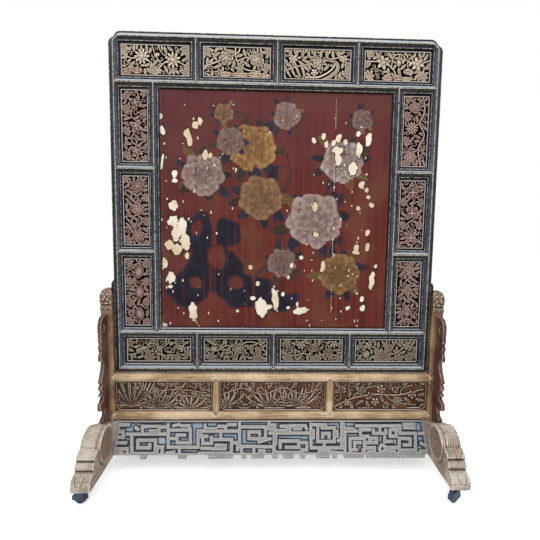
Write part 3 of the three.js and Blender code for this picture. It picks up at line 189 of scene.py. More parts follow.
def ringTree():
    tree = bpy.data.node_groups.new("mitredRing", "GeometryNodeTree")
    face = tree.interface
    face.new_socket("Width", in_out="INPUT", socket_type="NodeSocketFloat")
    face.new_socket("Height", in_out="INPUT", socket_type="NodeSocketFloat")
    face.new_socket("Profile", in_out="INPUT", socket_type="NodeSocketObject")
    face.new_socket("Profile points", in_out="INPUT", socket_type="NodeSocketInt")
    face.new_socket("Finish", in_out="INPUT", socket_type="NodeSocketMaterial")
    face.new_socket("Ring", in_out="OUTPUT", socket_type="NodeSocketGeometry")
    given = addNode(tree, "NodeGroupInput").outputs
    sheet = addNode(tree, "GeometryNodeMeshGrid", None, {"Vertices X": given["Profile points"], "Vertices Y": 5})
    index = addNode(tree, "GeometryNodeInputIndex").outputs[0]
    row = reckoned(tree, "FLOOR", reckoned(tree, "DIVIDE", index, 5.0))
    corner = reckoned(tree, "MODULO", reckoned(tree, "SUBTRACT", index, reckoned(tree, "MULTIPLY", row, 5.0)), 4.0)
    shape = addNode(tree, "GeometryNodeObjectInfo", None, {"Object": given["Profile"]}).outputs["Geometry"]
    picked = addNode(tree, "GeometryNodeSampleIndex", {"data_type": "FLOAT_VECTOR", "domain": "POINT"}, {
        "Geometry": shape, "Value": addNode(tree, "GeometryNodeInputPosition").outputs[0], "Index": row})
    section = addNode(tree, "ShaderNodeSeparateXYZ", None, {0: picked.outputs[0]}).outputs
    signX = reckoned(tree, "SUBTRACT", reckoned(tree, "MULTIPLY", reckoned(tree, "COMPARE", corner, 1.5), 2.0), 1.0)
    signZ = reckoned(tree, "SUBTRACT", reckoned(tree, "MULTIPLY", reckoned(tree, "GREATER_THAN", corner, 1.5), 2.0), 1.0)
    for node in tree.nodes:
        if node.type == "MATH" and node.operation == "COMPARE":
            node.inputs[2].default_value = 0.6
    halfX = reckoned(tree, "SUBTRACT", reckoned(tree, "MULTIPLY", given["Width"], 0.5), section[0])
    halfZ = reckoned(tree, "SUBTRACT", reckoned(tree, "MULTIPLY", given["Height"], 0.5), section[0])
    point = addNode(tree, "ShaderNodeCombineXYZ", None, {
        0: reckoned(tree, "MULTIPLY", signX, halfX), 1: section[1], 2: reckoned(tree, "MULTIPLY", signZ, halfZ)})
    laid = addNode(tree, "GeometryNodeSetPosition", None, {"Geometry": sheet.outputs[0], "Position": point.outputs[0]})
    closed = addNode(tree, "GeometryNodeMergeByDistance", None, {"Geometry": laid.outputs[0], "Distance": 1e-5})
    real = addNode(tree, "GeometryNodeRealizeInstances", None, {"Geometry": closed.outputs[0]})
    done = addNode(tree, "GeometryNodeSetMaterial", None, {"Geometry": real.outputs[0], "Material": given["Finish"]})
    tree.links.new(done.outputs[0], addNode(tree, "NodeGroupOutput").inputs[0])
    return tree


mitredRing = ringTree()


# Points and faces of one ring in millimetres; the profile is (inward from the outer line, y) pairs, closed
def ringPart(width, height, centre, profile, material, finish=0, wearHighlightAt=()):
    loop = list(profile) + [profile[0]]
    line = bpy.data.meshes.new("profile")
    line.from_pydata([(a / 1000, y / 1000, 0) for a, y in loop], [], [])
    shape = bpy.data.objects.new("profile", line)
    bpy.context.scene.collection.objects.link(shape)
    blank = bpy.data.objects.new("ring", bpy.data.meshes.new("ring"))
    bpy.context.scene.collection.objects.link(blank)
    modifier = blank.modifiers.new("ring", "NODES")
    modifier.node_group = mitredRing
    chosen = {"Width": width / 1000, "Height": height / 1000, "Profile": shape, "Profile points": len(loop), "Finish": material}
    for item in mitredRing.interface.items_tree:
        if item.in_out == "INPUT":
            modifier[item.identifier] = chosen[item.name]
    plain = bpy.data.meshes.new_from_object(blank.evaluated_get(bpy.context.evaluated_depsgraph_get()))
    work = bmesh.new()
    work.from_mesh(plain)
    bmesh.ops.recalc_face_normals(work, faces=work.faces)
    points = np.array([v.co[:] for v in work.verts]) * 1000
    faces = [[v.index for v in f.verts] for f in work.faces]
    work.free()
    blank.modifiers.remove(modifier)
    for thing in (blank, shape):
        bpy.data.objects.remove(thing)
    bpy.data.meshes.remove(plain)
    inward = np.minimum(width / 2 - np.abs(points[:, 0]), height / 2 - np.abs(points[:, 2]))
    wearHighlight = np.zeros(len(points))
    for a, y, amount in wearHighlightAt:
        wearHighlight = np.maximum(wearHighlight, amount * ((np.abs(inward - a) < 0.4) & (np.abs(points[:, 1] - y) < 0.4)))
    return {"points": points + np.asarray(centre, float), "faces": faces, "finish": finish, "wearHighlight": wearHighlight}


def assembled(name, parts, materials, angle=0.6):
    points, faces, finishes, values, start = [], [], [], {"wearHighlight": [], "hollow": [], "tone": []}, 0
    for part in parts:
        count = len(part["points"])
        points.append(np.asarray(part["points"], float))
        shifted = [[i + start for i in face] for face in part["faces"]]
        faces += shifted
        finish = part.get("finish", 0)
        finishes += finish if isinstance(finish, list) else [finish] * len(shifted)
        for key in values:
            values[key].append(np.broadcast_to(np.asarray(part.get(key, 0.0), float), (count,)))
        start += count
    piece = meshFrom(name, np.concatenate(points), faces, materials[0], {k: np.concatenate(v) for k, v in values.items()}, True, angle)
    for material in materials[1:]:
        piece.data.materials.append(material)
    piece.data.polygons.foreach_set("material_index", finishes)
    return piece


# ---- carving: a sheet of heights that leaves, petals and stems are laid on ----

def blankSheet(width, height, step):
    us = np.linspace(-width / 2, width / 2, round(width / step) + 1)
    vs = np.linspace(-height / 2, height / 2, round(height / step) + 1)
    u, v = np.meshgrid(us, vs, indexing="ij")
    return {"u": u, "v": v, "far": np.full(u.shape, 99.0), "rise": np.zeros(u.shape), "tone": np.zeros(u.shape), "step": step}


def lay(sheet, far, rise, tone):
    over = (far < sheet["step"]) & (rise > sheet["rise"])
    sheet["rise"] = np.where(over, rise, sheet["rise"])
    sheet["tone"] = np.where(over, tone, sheet["tone"])
    sheet["far"] = np.minimum(sheet["far"], far)


def turned(sheet, place, angle):
    c, s = math.cos(angle), math.sin(angle)
    du, dv = sheet["u"] - place[0], sheet["v"] - place[1]
    return du * c + dv * s, dv * c - du * s


def ovalOn(sheet, place, length, width, angle, low, high, tone=0.0, cup=0.0, ribs=0.0):
    s, t = turned(sheet, place, angle)
    a, b = length / 2, width / 2
    k = np.sqrt((s / a) ** 2 + (t / b) ** 2) + 1e-9
    far = (k - 1) * k / (np.sqrt((s / a ** 2) ** 2 + (t / b ** 2) ** 2) + 1e-9)
    rise = low + (high - low) * np.sqrt(np.clip(1 - k ** 2, 0, 1)) + cup * np.clip(s / a, -1, 1)
    if ribs:
        rise = rise + ribs * np.cos(k * 9.4)
    lay(sheet, far, rise, tone)


def leafOn(sheet, place, length, width, angle, bend=0.0, low=1.0, high=3.4, tone=0.0, veins=0.35):
    s, t = turned(sheet, place, angle)
    share = s / length
    t = t - bend * 4 * share * (1 - share)
    bow = (length ** 2 + width ** 2) / (4 * width)
    off = bow - width / 2
    far = np.maximum(np.hypot(s - length / 2, t - off), np.hypot(s - length / 2, t + off)) - bow
    half = np.clip(np.sqrt(np.clip(bow ** 2 - (s - length / 2) ** 2, 0, None)) - off, 0.3, None)
    q = np.clip(np.abs(t) / half, 0, 1)
    rise = low + (high - low) * np.sin(np.pi * (0.16 + 0.72 * q)) ** 0.8 * (0.75 + 0.25 * np.clip(share, 0, 1))
    rise = rise + veins * np.cos(2 * np.pi * (share * length / 5.5 - q * 1.3)) * (q > 0.12)
    lay(sheet, far, rise, tone)


def smoothLine(points, steps=8):
    p = [np.asarray(q, float) for q in points]
    p = [2 * p[0] - p[1]] + p + [2 * p[-1] - p[-2]]
    line = []
    for i in range(1, len(p) - 2):
        for k in range(steps):
            t = k / steps
            line.append(0.5 * (2 * p[i] + (p[i + 1] - p[i - 1]) * t + (2 * p[i - 1] - 5 * p[i] + 4 * p[i + 1] - p[i + 2]) * t ** 2
                               + (3 * p[i] - p[i - 1] - 3 * p[i + 1] + p[i + 2]) * t ** 3))
    line.append(p[-2])
    return np.array(line)


def stemOn(sheet, points, width, low=0.8, high=3.0, tone=0.0, taper=0.0):
    line = smoothLine(points) if len(points) > 2 else np.array(points, float)
    far = np.full(sheet["u"].shape, 99.0)
    rise = np.zeros(sheet["u"].shape)
    count = len(line) - 1
    for i in range(count):
        (x0, y0), (x1, y1) = line[i], line[i + 1]
        dx, dy = x1 - x0, y1 - y0
        t = np.clip(((sheet["u"] - x0) * dx + (sheet["v"] - y0) * dy) / (dx * dx + dy * dy + 1e-9), 0, 1)
        away = np.hypot(sheet["u"] - x0 - t * dx, sheet["v"] - y0 - t * dy)
        half = width / 2 * (1 - taper * (i + t) / count)
        rise = np.maximum(rise, low + (high - low) * np.sqrt(np.clip(1 - (away / half) ** 2, 0, 1)))
        far = np.minimum(far, away - half)
    lay(sheet, far, rise, tone)


def curlOn(sheet, place, radius, turns, angle, way=1, width=3.2, tone=0.0, high=3.2):
    steps = max(6, int(turns * 14))
    line = []
    for i in range(steps + 1):
        share = i / steps
        swing = angle + way * share * turns * 2 * math.pi
        reach = radius * (1 - 0.82 * share)
        line.append((place[0] + reach * math.cos(swing), place[1] + reach * math.sin(swing)))
    stemOn(sheet, line[::2] if len(line) > 8 else line, width, high=high, tone=tone, taper=0.35)


def flowerOn(sheet, place, radius, petals, turn=0.0, tone=0.0, stretch=1.0, kind="round"):
    x, y = place
    def ring(count, reach, length, width, low, high, shift, cup):
        for i in range(count):
            angle = turn + shift + i * 2 * math.pi / count
            ovalOn(sheet, (x + reach * math.cos(angle) * stretch, y + reach * math.sin(angle)), length, width, angle, low, high, tone, cup)
    if kind == "daisy":
        ring(petals * 2, radius * 0.6, radius * 0.84, radius * 2.9 / (petals * 2), 1.5, 3.8, 0, 0.5)
        ring(petals, radius * 0.36, radius * 0.5, radius * 2.2 / petals, 3.0, 4.9, 0.3, 0.4)
        ovalOn(sheet, place, radius * 0.5, radius * 0.5, 0, 4.0, 6.4, tone * 0.5, 0, 0.35)
    elif kind == "rose":
        ring(petals, radius * 0.56, radius * 0.92, radius * 0.88, 1.4, 3.6, 0, 1.1)
        ring(petals, radius * 0.33, radius * 0.62, radius * 0.6, 2.6, 4.6, 0.6, 0.8)
        ring(3, radius * 0.14, radius * 0.36, radius * 0.34, 3.6, 5.6, 0.2, 0.3)
    elif kind == "melon":
        ring(petals, radius * 0.5, radius * 0.95, radius * 2.7 / petals, 1.6, 4.8, 0, -0.4)
        ovalOn(sheet, place, radius * 0.52, radius * 0.52, 0, 3.6, 6.2, tone, 0, 0.5)
    elif kind == "cross":
        ring(4, radius * 0.55, radius * 0.95, radius * 0.62, 1.5, 4.2, math.pi / 4, 0.8)
        ring(4, radius * 0.34, radius * 0.5, radius * 0.26, 2.2, 4.8, 0, 0.4)
        ovalOn(sheet, place, radius * 0.4, radius * 0.4, 0, 4.0, 6.2, tone)
    else:
        ring(petals, radius * 0.54, radius * 0.92, radius * 3.5 / petals, 1.4, 4.0, 0, 0.9)
        ring(petals, radius * 0.3, radius * 0.5, radius * 0.24, 2.6, 4.6, 0, 0.2)
        ovalOn(sheet, place, radius * 0.46, radius * 0.46, 0, 3.8, 6.0, tone, 0, 0.3)


def podOn(sheet, place, length, width, angle, tone=0.0):
    ovalOn(sheet, place, length, width, angle, 1.6, 4.4, tone)
    ovalOn(sheet, place, length * 0.68, width * 0.66, angle, 3.4, 5.0, tone, 0, 0.7)
    ovalOn(sheet, place, length * 0.3, width * 0.3, angle, 4.2, 6.2, tone)


def spanOn(sheet, place, size, angle, blades=5, spread=2.2, tone=0.0, narrow=0.34):
    for i in range(blades):
        swing = angle + (i / (blades - 1) - 0.5) * spread
        long = size * (1 - 0.28 * abs(i / (blades - 1) - 0.5) * 2)
        leafOn(sheet, place, long, size * narrow, swing, 0, 1.0, 3.2, tone)


# Small leaves and curls grow from what is there into the widest empty places
def fillVoids(sheet, least, most, seed, tones=(0.0, 0.3, 0.7)):
    dice = np.random.default_rng(seed)
    u, v = sheet["u"], sheet["v"]
    limitU, limitV = u.max(), v.max()
    for i in range(most):
        far = np.minimum(sheet["far"], np.minimum(limitU - np.abs(u), limitV - np.abs(v)) + 1.5)
        k = np.unravel_index(int(np.argmax(far)), far.shape)
        room = far[k]
        if room < least:
            break
        gu, gv = np.gradient(sheet["far"], sheet["step"])
        angle = math.atan2(gv[k], gu[k]) + dice.uniform(-0.5, 0.5)
        length = min(room * 1.9 + 5, 34)
        start = (u[k] - math.cos(angle) * length * 0.62, v[k] - math.sin(angle) * length * 0.62)
        tone = dice.choice(tones)
        if dice.random() < 0.26 and room > least * 1.2:
            curlOn(sheet, (u[k], v[k]), room * 0.72, 1.1, angle + math.pi, dice.choice([-1, 1]), 2.6, tone)
            stemOn(sheet, [start, (u[k] - math.cos(angle) * room * 0.7, v[k] - math.sin(angle) * room * 0.7)], 2.8, tone=tone)
        else:
            leafOn(sheet, start, length, min(max(room * 0.95, 5), 11), angle, dice.uniform(-2.5, 2.5), tone=tone)


def softened(array, reach):
    for axis in (0, 1):
        pad = [(reach, reach) if a == axis else (0, 0) for a in (0, 1)]
        wide = np.pad(array, pad, mode="edge")
        total = np.zeros_like(array)
        for k in range(2 * reach + 1):
            total += np.take(wide, range(k, k + array.shape[axis]), axis=axis)
        array = total / (2 * reach + 1)
    return array


# Turns a sheet into a closed mesh: carved front, cut walls, flat back; toWorld takes (u, v, depth forward)
def carvedPart(sheet, base, back, toWorld, pierced=True, finish=0, deepShade=0.0):
    u, v, far, step = sheet["u"].copy(), sheet["v"].copy(), sheet["far"], sheet["step"]
    rise = sheet["rise"]
    mean = (far[:-1, :-1] + far[1:, :-1] + far[1:, 1:] + far[:-1, 1:]) / 4
    keep = (mean < 0) if pierced else np.ones(mean.shape, bool)
    around = np.zeros((keep.shape[0] + 2, keep.shape[1] + 2), bool)
    around[1:-1, 1:-1] = keep
    corners = [around[i:i + u.shape[0], j:j + u.shape[1]] for i in (0, 1) for j in (0, 1)]
    rim = np.any(corners, axis=0) & ~np.all(corners, axis=0)
    if pierced:
        gu, gv = np.gradient(far, step)
        size = np.clip(gu ** 2 + gv ** 2, 0.25, None)
        inside = (np.abs(u) < u.max() - 1e-6) & (np.abs(v) < v.max() - 1e-6)
        moveU = np.clip(-far * gu / size, -0.75 * step, 0.75 * step)
        moveV = np.clip(-far * gv / size, -0.75 * step, 0.75 * step)
        u = np.where(rim & inside, u + moveU, u)
        v = np.where(rim & inside, v + moveV, v)
    local = softened(rise, 2)
    # painted highlight on what stands above its neighbours and more on the highest parts, also standing for rubbing;
    # painted shade on what lies below its neighbours and, by deepShade, on low-lying parts
    wearHighlight = np.clip((rise - local) / 0.5, 0, 1) * 0.8 + np.clip(rise / 6.5, 0, 1) ** 2 * 0.45
    hollow = np.maximum(np.clip((local - rise) / 0.5, 0, 1), deepShade * eased(2.9, 0.9, rise))
    number = -np.ones(u.shape, int)
    used = np.any(corners, axis=0)
    number[used] = np.arange(used.sum())
    count = int(used.sum())
    front = np.array(toWorld(u[used], v[used], base + rise[used])).T
    rear = np.array(toWorld(u[used], v[used], np.full(count, back))).T
    a, b, c, d = number[:-1, :-1][keep], number[1:, :-1][keep], number[1:, 1:][keep], number[:-1, 1:][keep]
    faces = [np.stack([a, b, c, d], 1), np.stack([d, c, b, a], 1) + count]
    grid = around
    n = keep.shape
    for (di, dj), (p, q) in (((0, -1), ((0, 0), (1, 0))), ((1, 0), ((1, 0), (1, 1))), ((0, 1), ((1, 1), (0, 1))), ((-1, 0), ((0, 1), (0, 0)))):
        outside = keep & ~grid[1 + di:1 + di + n[0], 1 + dj:1 + dj + n[1]]
        i, j = np.nonzero(outside)
        s, e = number[i + p[0], j + p[1]], number[i + q[0], j + q[1]]
        faces.append(np.stack([e, s, s + count, e + count], 1))
    two = lambda values: np.concatenate([values, values])
    # the backs are given full painted shade
    return {"points": np.concatenate([front, rear]), "faces": np.concatenate(faces).tolist(), "finish": finish,
            "wearHighlight": np.concatenate([wearHighlight[used], np.zeros(count)]), "hollow": np.concatenate([hollow[used], np.ones(count)]),
            "tone": two(sheet["tone"][used])}


def boxPart(low, high, finish=0):
    (x0, y0, z0), (x1, y1, z1) = low, high
    points = [(x0, y0, z0), (x1, y0, z0), (x1, y1, z0), (x0, y1, z0), (x0, y0, z1), (x1, y0, z1), (x1, y1, z1), (x0, y1, z1)]
    faces = [(0, 3, 2, 1), (4, 5, 6, 7), (0, 1, 5, 4), (2, 3, 7, 6), (1, 2, 6, 5), (3, 0, 4, 7)]
    return {"points": np.array(points, float), "faces": [list(f) for f in faces], "finish": finish}


# ---- camera, light and floor ----

stageLook = {
    "eye": (-0.035, -1.6756, 1.084),
    "yaw": 0.032,
    "pitch": 0.0935,
    "roll": -0.0147,
    "focal": 399.6,  # in pixels of the 540 pixel picture
    "centre": (279.4, 249.5),
    "skyStrength": 0.6,
    "overheadPower": 62,
    "keyPower": 34,
    "fillPower": 16,
    "floorColour": "f2f2f2",
    "floorLift": 0.5,
}


def buildStage(look):
    scene = bpy.context.scene
    yaw, pitch, roll = look["yaw"], look["pitch"], look["roll"]
    ahead = Vector((math.sin(yaw) * math.cos(pitch), math.cos(yaw) * math.cos(pitch), -math.sin(pitch)))
    right = Vector((math.cos(yaw), -math.sin(yaw), 0))
    down = ahead.cross(right)
    rightRolled = right * math.cos(roll) + down * math.sin(roll)
    downRolled = down * math.cos(roll) - right * math.sin(roll)
    camera = bpy.data.objects.new("camera", bpy.data.cameras.new("camera"))
    scene.collection.objects.link(camera)
    turn = Matrix((rightRolled, -downRolled, -ahead)).transposed().to_4x4()
    camera.matrix_world = Matrix.Translation(look["eye"]) @ turn
    camera.data.sensor_width = 36
    camera.data.lens = 36 * look["focal"] / 540
    camera.data.shift_x = (270 - look["centre"][0]) / 540
    camera.data.shift_y = (look["centre"][1] - 270) / 540
    scene.camera = camera

    world = bpy.data.worlds.new("paleRoom")
    world.use_nodes = True
    tree = world.node_tree
    tree.nodes.clear()
    seen = addNode(tree, "ShaderNodeLightPath")
    straight = reckoned(tree, "MAXIMUM", seen.outputs["Is Camera Ray"], seen.outputs["Is Transmission Ray"])
    strength = addNode(tree, "ShaderNodeMapRange", None, {
        "Value": straight, "To Min": look["skyStrength"], "To Max": 1.0}).outputs[0]
    back = addNode(tree, "ShaderNodeBackground", None, {"Color": (1, 1, 1, 1), "Strength": strength})
    tree.links.new(back.outputs[0], addNode(tree, "ShaderNodeOutputWorld").inputs[0])
    scene.world = world

    for name, place, size, power in (
        ("overheadLamp", (0, -1.3, 3.6), 3.2, look["overheadPower"]),
        ("keyLamp", (-1.3, -3.2, 2.6), 2.2, look["keyPower"]),
        ("fillLamp", (2.6, -2.4, 2.2), 2.4, look["fillPower"]),
        ("backLamp", (0.6, 3.2, 2.8), 2.4, look["fillPower"]),
    ):
        lamp = bpy.data.objects.new(name, bpy.data.lights.new(name, "AREA"))
        lamp.data.size = size
        lamp.data.energy = power
        lamp.location = place
        lamp.rotation_euler = (Vector((0, 0, 0.9)) - Vector(place)).to_track_quat("-Z", "Y").to_euler()
        scene.collection.objects.link(lamp)

    floorPaint = bpy.data.materials.new("paleFloor")
    floorPaint.use_nodes = True
    tree = floorPaint.node_tree
    tree.nodes.clear()
    matt = addNode(tree, "ShaderNodeBsdfDiffuse", None, {"Color": linear(look["floorColour"])})
    ray = addNode(tree, "ShaderNodeLightPath")
    lift = reckoned(tree, "MULTIPLY", ray.outputs["Is Camera Ray"], look["floorLift"])
    glow = addNode(tree, "ShaderNodeEmission", None, {"Color": (1, 1, 1, 1), "Strength": lift})
    both = addNode(tree, "ShaderNodeAddShader", None, {0: matt.outputs[0], 1: glow.outputs[0]})
    tree.links.new(both.outputs[0], addNode(tree, "ShaderNodeOutputMaterial").inputs[0])
    reach = 9000
    floor = meshFrom("floor", [(-reach, -reach, 0), (reach, -reach, 0), (reach, reach, 0), (-reach, reach, 0)],
                     [(0, 1, 2, 3)], floorPaint, smooth=False)
    scene.view_settings.view_transform = "Standard"
    print("stage set")


buildStage(stageLook)


# ---- finishes ----

# Black lacquer over wood, brushed on and rubbed at the arrises: a painted blue-grey sheen on faces turned up and
# sideways, olive wood where it is worn, and pale painted highlights with rubbing on the ridges and beads
blackLacquer = agedTimber("blackLacquer", {
    "grainMm": 9, "dark": "0b0a0c", "base": "151214", "patch": "221d17", "wornHighlight": "b3aa94", "hollow": "060507",
    "gloss": (0.34, 0.5), "ior": 1.36, "bump": 0.3, "speckMm": 9, "wearHighlightFrom": 0.42, "patchMm": 60, "wearHighlightNoise": 2.0,
    "dustAndSheen": "b2bcc6", "dustAndSheenMost": 0.9, "sideSheen": "43536b", "sideSheenMost": 0.85,
})
# Camphor or elm rails rubbed bare by hands: light tan, satin, long grain
rubbedRail = agedTimber("rubbedRail", {
    "grainMm": 7, "dark": "86694c", "base": "b99b74", "patch": "cbb391", "wornHighlight": "e6d8be", "hollow": "33261e",
    "gloss": (0.38, 0.55), "coat": 0.1, "bump": 0.35, "patchMm": 140,
})
shortPostWood = agedTimber("rubbedShortPost", {
    "grainMm": 7, "dark": "86694c", "base": "b99b74", "patch": "cbb391", "wornHighlight": "e6d8be", "hollow": "33261e",
    "gloss": (0.38, 0.55), "coat": 0.1, "bump": 0.35, "along": "z",
})
# Post of the same wood, more orange where old varnish stays
varnishedPost = agedTimber("varnishedPost", {
    "grainMm": 7, "dark": "5f4433", "base": "8f6c4f", "patch": "a78563", "wornHighlight": "d2b894", "hollow": "1d1410", "toneGain": 0.75, "tone": "675a50",
    "gloss": (0.36, 0.52), "coat": 0.12, "bump": 0.35, "along": "z", "patchMm": 120,
})
# Red-brown lacquered bracket, with a painted highlight along its edges standing for the lit front edge
bracketLacquer = agedTimber("bracketLacquer", {
    "grainMm": 8, "dark": "38211d", "base": "583730", "patch": "70504a", "wornHighlight": "b79c8a", "hollow": "180e0e", "wearHighlightMost": 0.75,
    "gloss": (0.34, 0.5), "coat": 0.15, "bump": 0.3, "along": "z",
})
# Bare weathered foot: grey-white raised grain over beige
weatheredFoot = agedTimber("weatheredFoot", {
    "grainMm": 5, "dark": "7b6c5c", "base": "b4a594", "patch": "c0b6aa", "wornHighlight": "e6e0d6", "hollow": "2a231d", "toneGain": 0.8, "tone": "84654c",
    "gloss": (0.62, 0.8), "bump": 1.0, "bumpMm": 1.4, "along": "y", "wearHighlightMost": 0.8, "speckMm": 7, "wearHighlightNoise": 2.0,
})
weatheredFret = agedTimber("weatheredFret", {
    "grainMm": 5, "dark": "6c7a8c", "base": "8497aa", "patch": "94a3b2", "wornHighlight": "b3b0ac", "hollow": "1b1e24",
    "gloss": (0.6, 0.8), "bump": 0.8, "bumpMm": 0.9, "toneGain": 0.95, "tone": "83827f", "hollowMost": 0.95, "wearHighlightMost": 0.7,
})
plainBatten = agedTimber("plainBatten", {
    "grainMm": 6, "dark": "35251b", "base": "4a3527", "patch": "5a4636", "wornHighlight": "7d654c", "hollow": "1c1512",
    "gloss": (0.55, 0.75), "bump": 0.5,
})
casterSteel = agedTimber("paintedSteel", {
    "grainMm": 30, "dark": "243040", "base": "2e3d4d", "patch": "3c4d60", "wornHighlight": "8793a0", "hollow": "12161c",
    "gloss": (0.3, 0.42), "bump": 0.08,
})
wheelRubber = agedTimber("wheelRubber", {
    "grainMm": 20, "dark": "131519", "base": "191c21", "patch": "23282f", "wornHighlight": "3b4048", "hollow": "0a0b0d",
    "gloss": (0.45, 0.6), "bump": 0.15,
})
reliefLacquer = agedTimber("reliefLacquer", {
    "grainMm": 7, "dark": "3a2316", "base": "5e3820", "patch": "70492c", "wornHighlight": "c4b3a0", "hollow": "0e0806",
    "gloss": (0.6, 0.8), "ior": 1.26, "bump": 0.3, "hollowMost": 0.97, "toneGain": 1.0, "tone": "42322b", "wearHighlightMost": 0.85, "wearHighlightFrom": 0.35,
})
# Flat black lacquer round the carving, smoother and bluer than the mouldings
surroundLacquer = agedTimber("surroundLacquer", {
    "grainMm": 12, "dark": "0c0d12", "base": "131620", "patch": "1d2533", "wornHighlight": "4e4f52", "hollow": "060608",
    "gloss": (0.35, 0.5), "ior": 1.3, "bump": 0.15,
})
# Raised line round each field: rubbed through to pinkish-grey wood
borderLine = agedTimber("rubbedBorderLine", {
    "grainMm": 10, "dark": "4a4546", "base": "6f6a6a", "patch": "7f7570", "wornHighlight": "bdb2aa", "hollow": "1c1a1c",
    "gloss": (0.35, 0.5), "bump": 0.2, "speckMm": 9,
})
# Black sheet behind the openwork, painted matt black as the shade seen through the gaps, so they read as holes
gapShadeSheet = agedTimber("gapShadeSheet", {
    "grainMm": 8, "dark": "08080a", "base": "0c0c0f", "patch": "121014", "wornHighlight": "1d1a1a", "hollow": "050506",
    "gloss": (0.7, 0.85), "ior": 1.12, "bump": 0.2,
})
giltCarving = {
    "grainMm": 6, "dark": "5a4a3c", "base": "8a7865", "patch": "9a8a78", "wornHighlight": "dccdb4", "hollow": "120d0b",
    "gloss": (0.45, 0.62), "bump": 0.4, "toneGain": 0.7, "tone": "7a5b44", "hollowMost": 0.96,
}
topGilt = agedTimber("topCarvingGilt", giltCarving)
bottomGilt = agedTimber("bottomCarvingGilt", {**giltCarving, "base": "6b5d4c", "dark": "43372c", "patch": "766a5b", "wornHighlight": "b3a892", "tone": "5a3d30"})
sideGilt = agedTimber("sideCarvingLacquer", {**giltCarving, "base": "6b4b42", "dark": "432b26", "patch": "775850", "wornHighlight": "bb9e94",
                                             "tone": "7f6d63", "along": "z"})
redLacquer = agedTimber("redLacquer", {
    "grainMm": 16, "stretch": 0.03, "dark": "4b201a", "base": "692a21", "patch": "64392a", "wornHighlight": "a58a7c", "hollow": "120909",
    "gloss": (0.5, 0.66), "ior": 1.24, "bump": 0.3, "along": "z", "patchMm": 170, "speckMm": 6,
    "tone": "532a30", "toneGain": 0.7, "painted": True, "hollowMost": 0.9,
})
print("finishes made")

bodies = frame["record"]["behaviour"]["bodies"]
allNodes = list(frame["nodes"])
paint([n for n in allNodes if n.endswith("_rail") or "stile" in n or "muntin" in n], blackLacquer)
paint(["upper_stand_rail", "lower_stand_rail"], rubbedRail)
paint(["left_short_post", "right_short_post"], shortPostWood)
paint(["left_post", "right_post"], varnishedPost)
paint([n for n in allNodes if "bracket" in n], bracketLacquer)
paint(["left_foot", "right_foot"], weatheredFoot)
paint(["front_apron", "back_apron"], weatheredFret)
paint([n for n in allNodes if "batten" in n], plainBatten)
paint([n for n in allNodes if n.endswith("fork")], casterSteel)
paint([n for n in allNodes if n.endswith("wheel")], wheelRubber)
paint([n for n in allNodes if "relief" in n], reliefLacquer)
paint([n for n in allNodes if n.startswith("top_carved")], topGilt)
paint([n for n in allNodes if n.startswith("bottom_carved")], bottomGilt)
paint([n for n in allNodes if n.startswith(("left_carved", "right_carved"))], sideGilt)
paint(["painted_board"], redLacquer)


# ---- screen frame: ridged mouldings round every opening ----

frameLook = {
    "columns": (-651, -325.5, 0, 325.5, 651),
    "rows": (413.3, 569.3, 910.3, 1251.3, 1592.3, 1767.3),
    "innerStile": 496,
    "half": 19,
    "indent": 46,
    # inward from the ridge and depth: ridge, long slope, hollow, bead, wall, back
    "section": ((0, -17), (1.6, -16.8), (3.4, -16), (5.4, -14.4), (7.2, -12.6), (8, -12.3), (8.6, -11.2), (10.8, -9.5),
                (13.2, -9), (15, -9.4), (15.5, -10.6), (16.6, -11), (18, -10.8), (19, -9.8), (19, 16), (0, 16)),
    # pale along the ridge and the bead: rubbing and a painted highlight
    "wearHighlight": ((0, -17, 0.78), (1.6, -16.8, 0.6), (8, -12.3, 0.5), (16.6, -11, 0.62), (18, -10.8, 0.5)),
    "tongue": (394.3 + 6, 788.3),
}


def sweptPart(stations, section, half, wearHighlightAt, closed=True):
    count = len(section)
    points, wearHighlight, faces = [], [], []
    for ridge, edge in stations:
        for a, y in section:
            share = a / half
            points.append((ridge[0] + (edge[0] - ridge[0]) * share, y, ridge[1] + (edge[1] - ridge[1]) * share))
            wearHighlight.append(max([amount for (wa, wy, amount) in wearHighlightAt if abs(wa - a) < 0.1 and abs(wy - y) < 0.1] or [0]))
    rows = len(stations)
    for r in range(rows if closed else rows - 1):
        s = (r + 1) % rows
        for i in range(count):
            j = (i + 1) % count
            faces.append([r * count + i, r * count + j, s * count + j, s * count + i])
    if not closed:
        faces.append(list(range(count)))
        faces.append([(rows - 1) * count + i for i in range(count)][::-1])
    work = bmesh.new()
    made = [work.verts.new(p) for p in points]
    for face in faces:
        work.faces.new([made[i] for i in face])
    work.verts.index_update()
    bmesh.ops.recalc_face_normals(work, faces=work.faces)
    faces = [[v.index for v in f.verts] for f in work.faces]
    work.free()
    return {"points": np.array(points), "faces": faces, "wearHighlight": np.array(wearHighlight)}


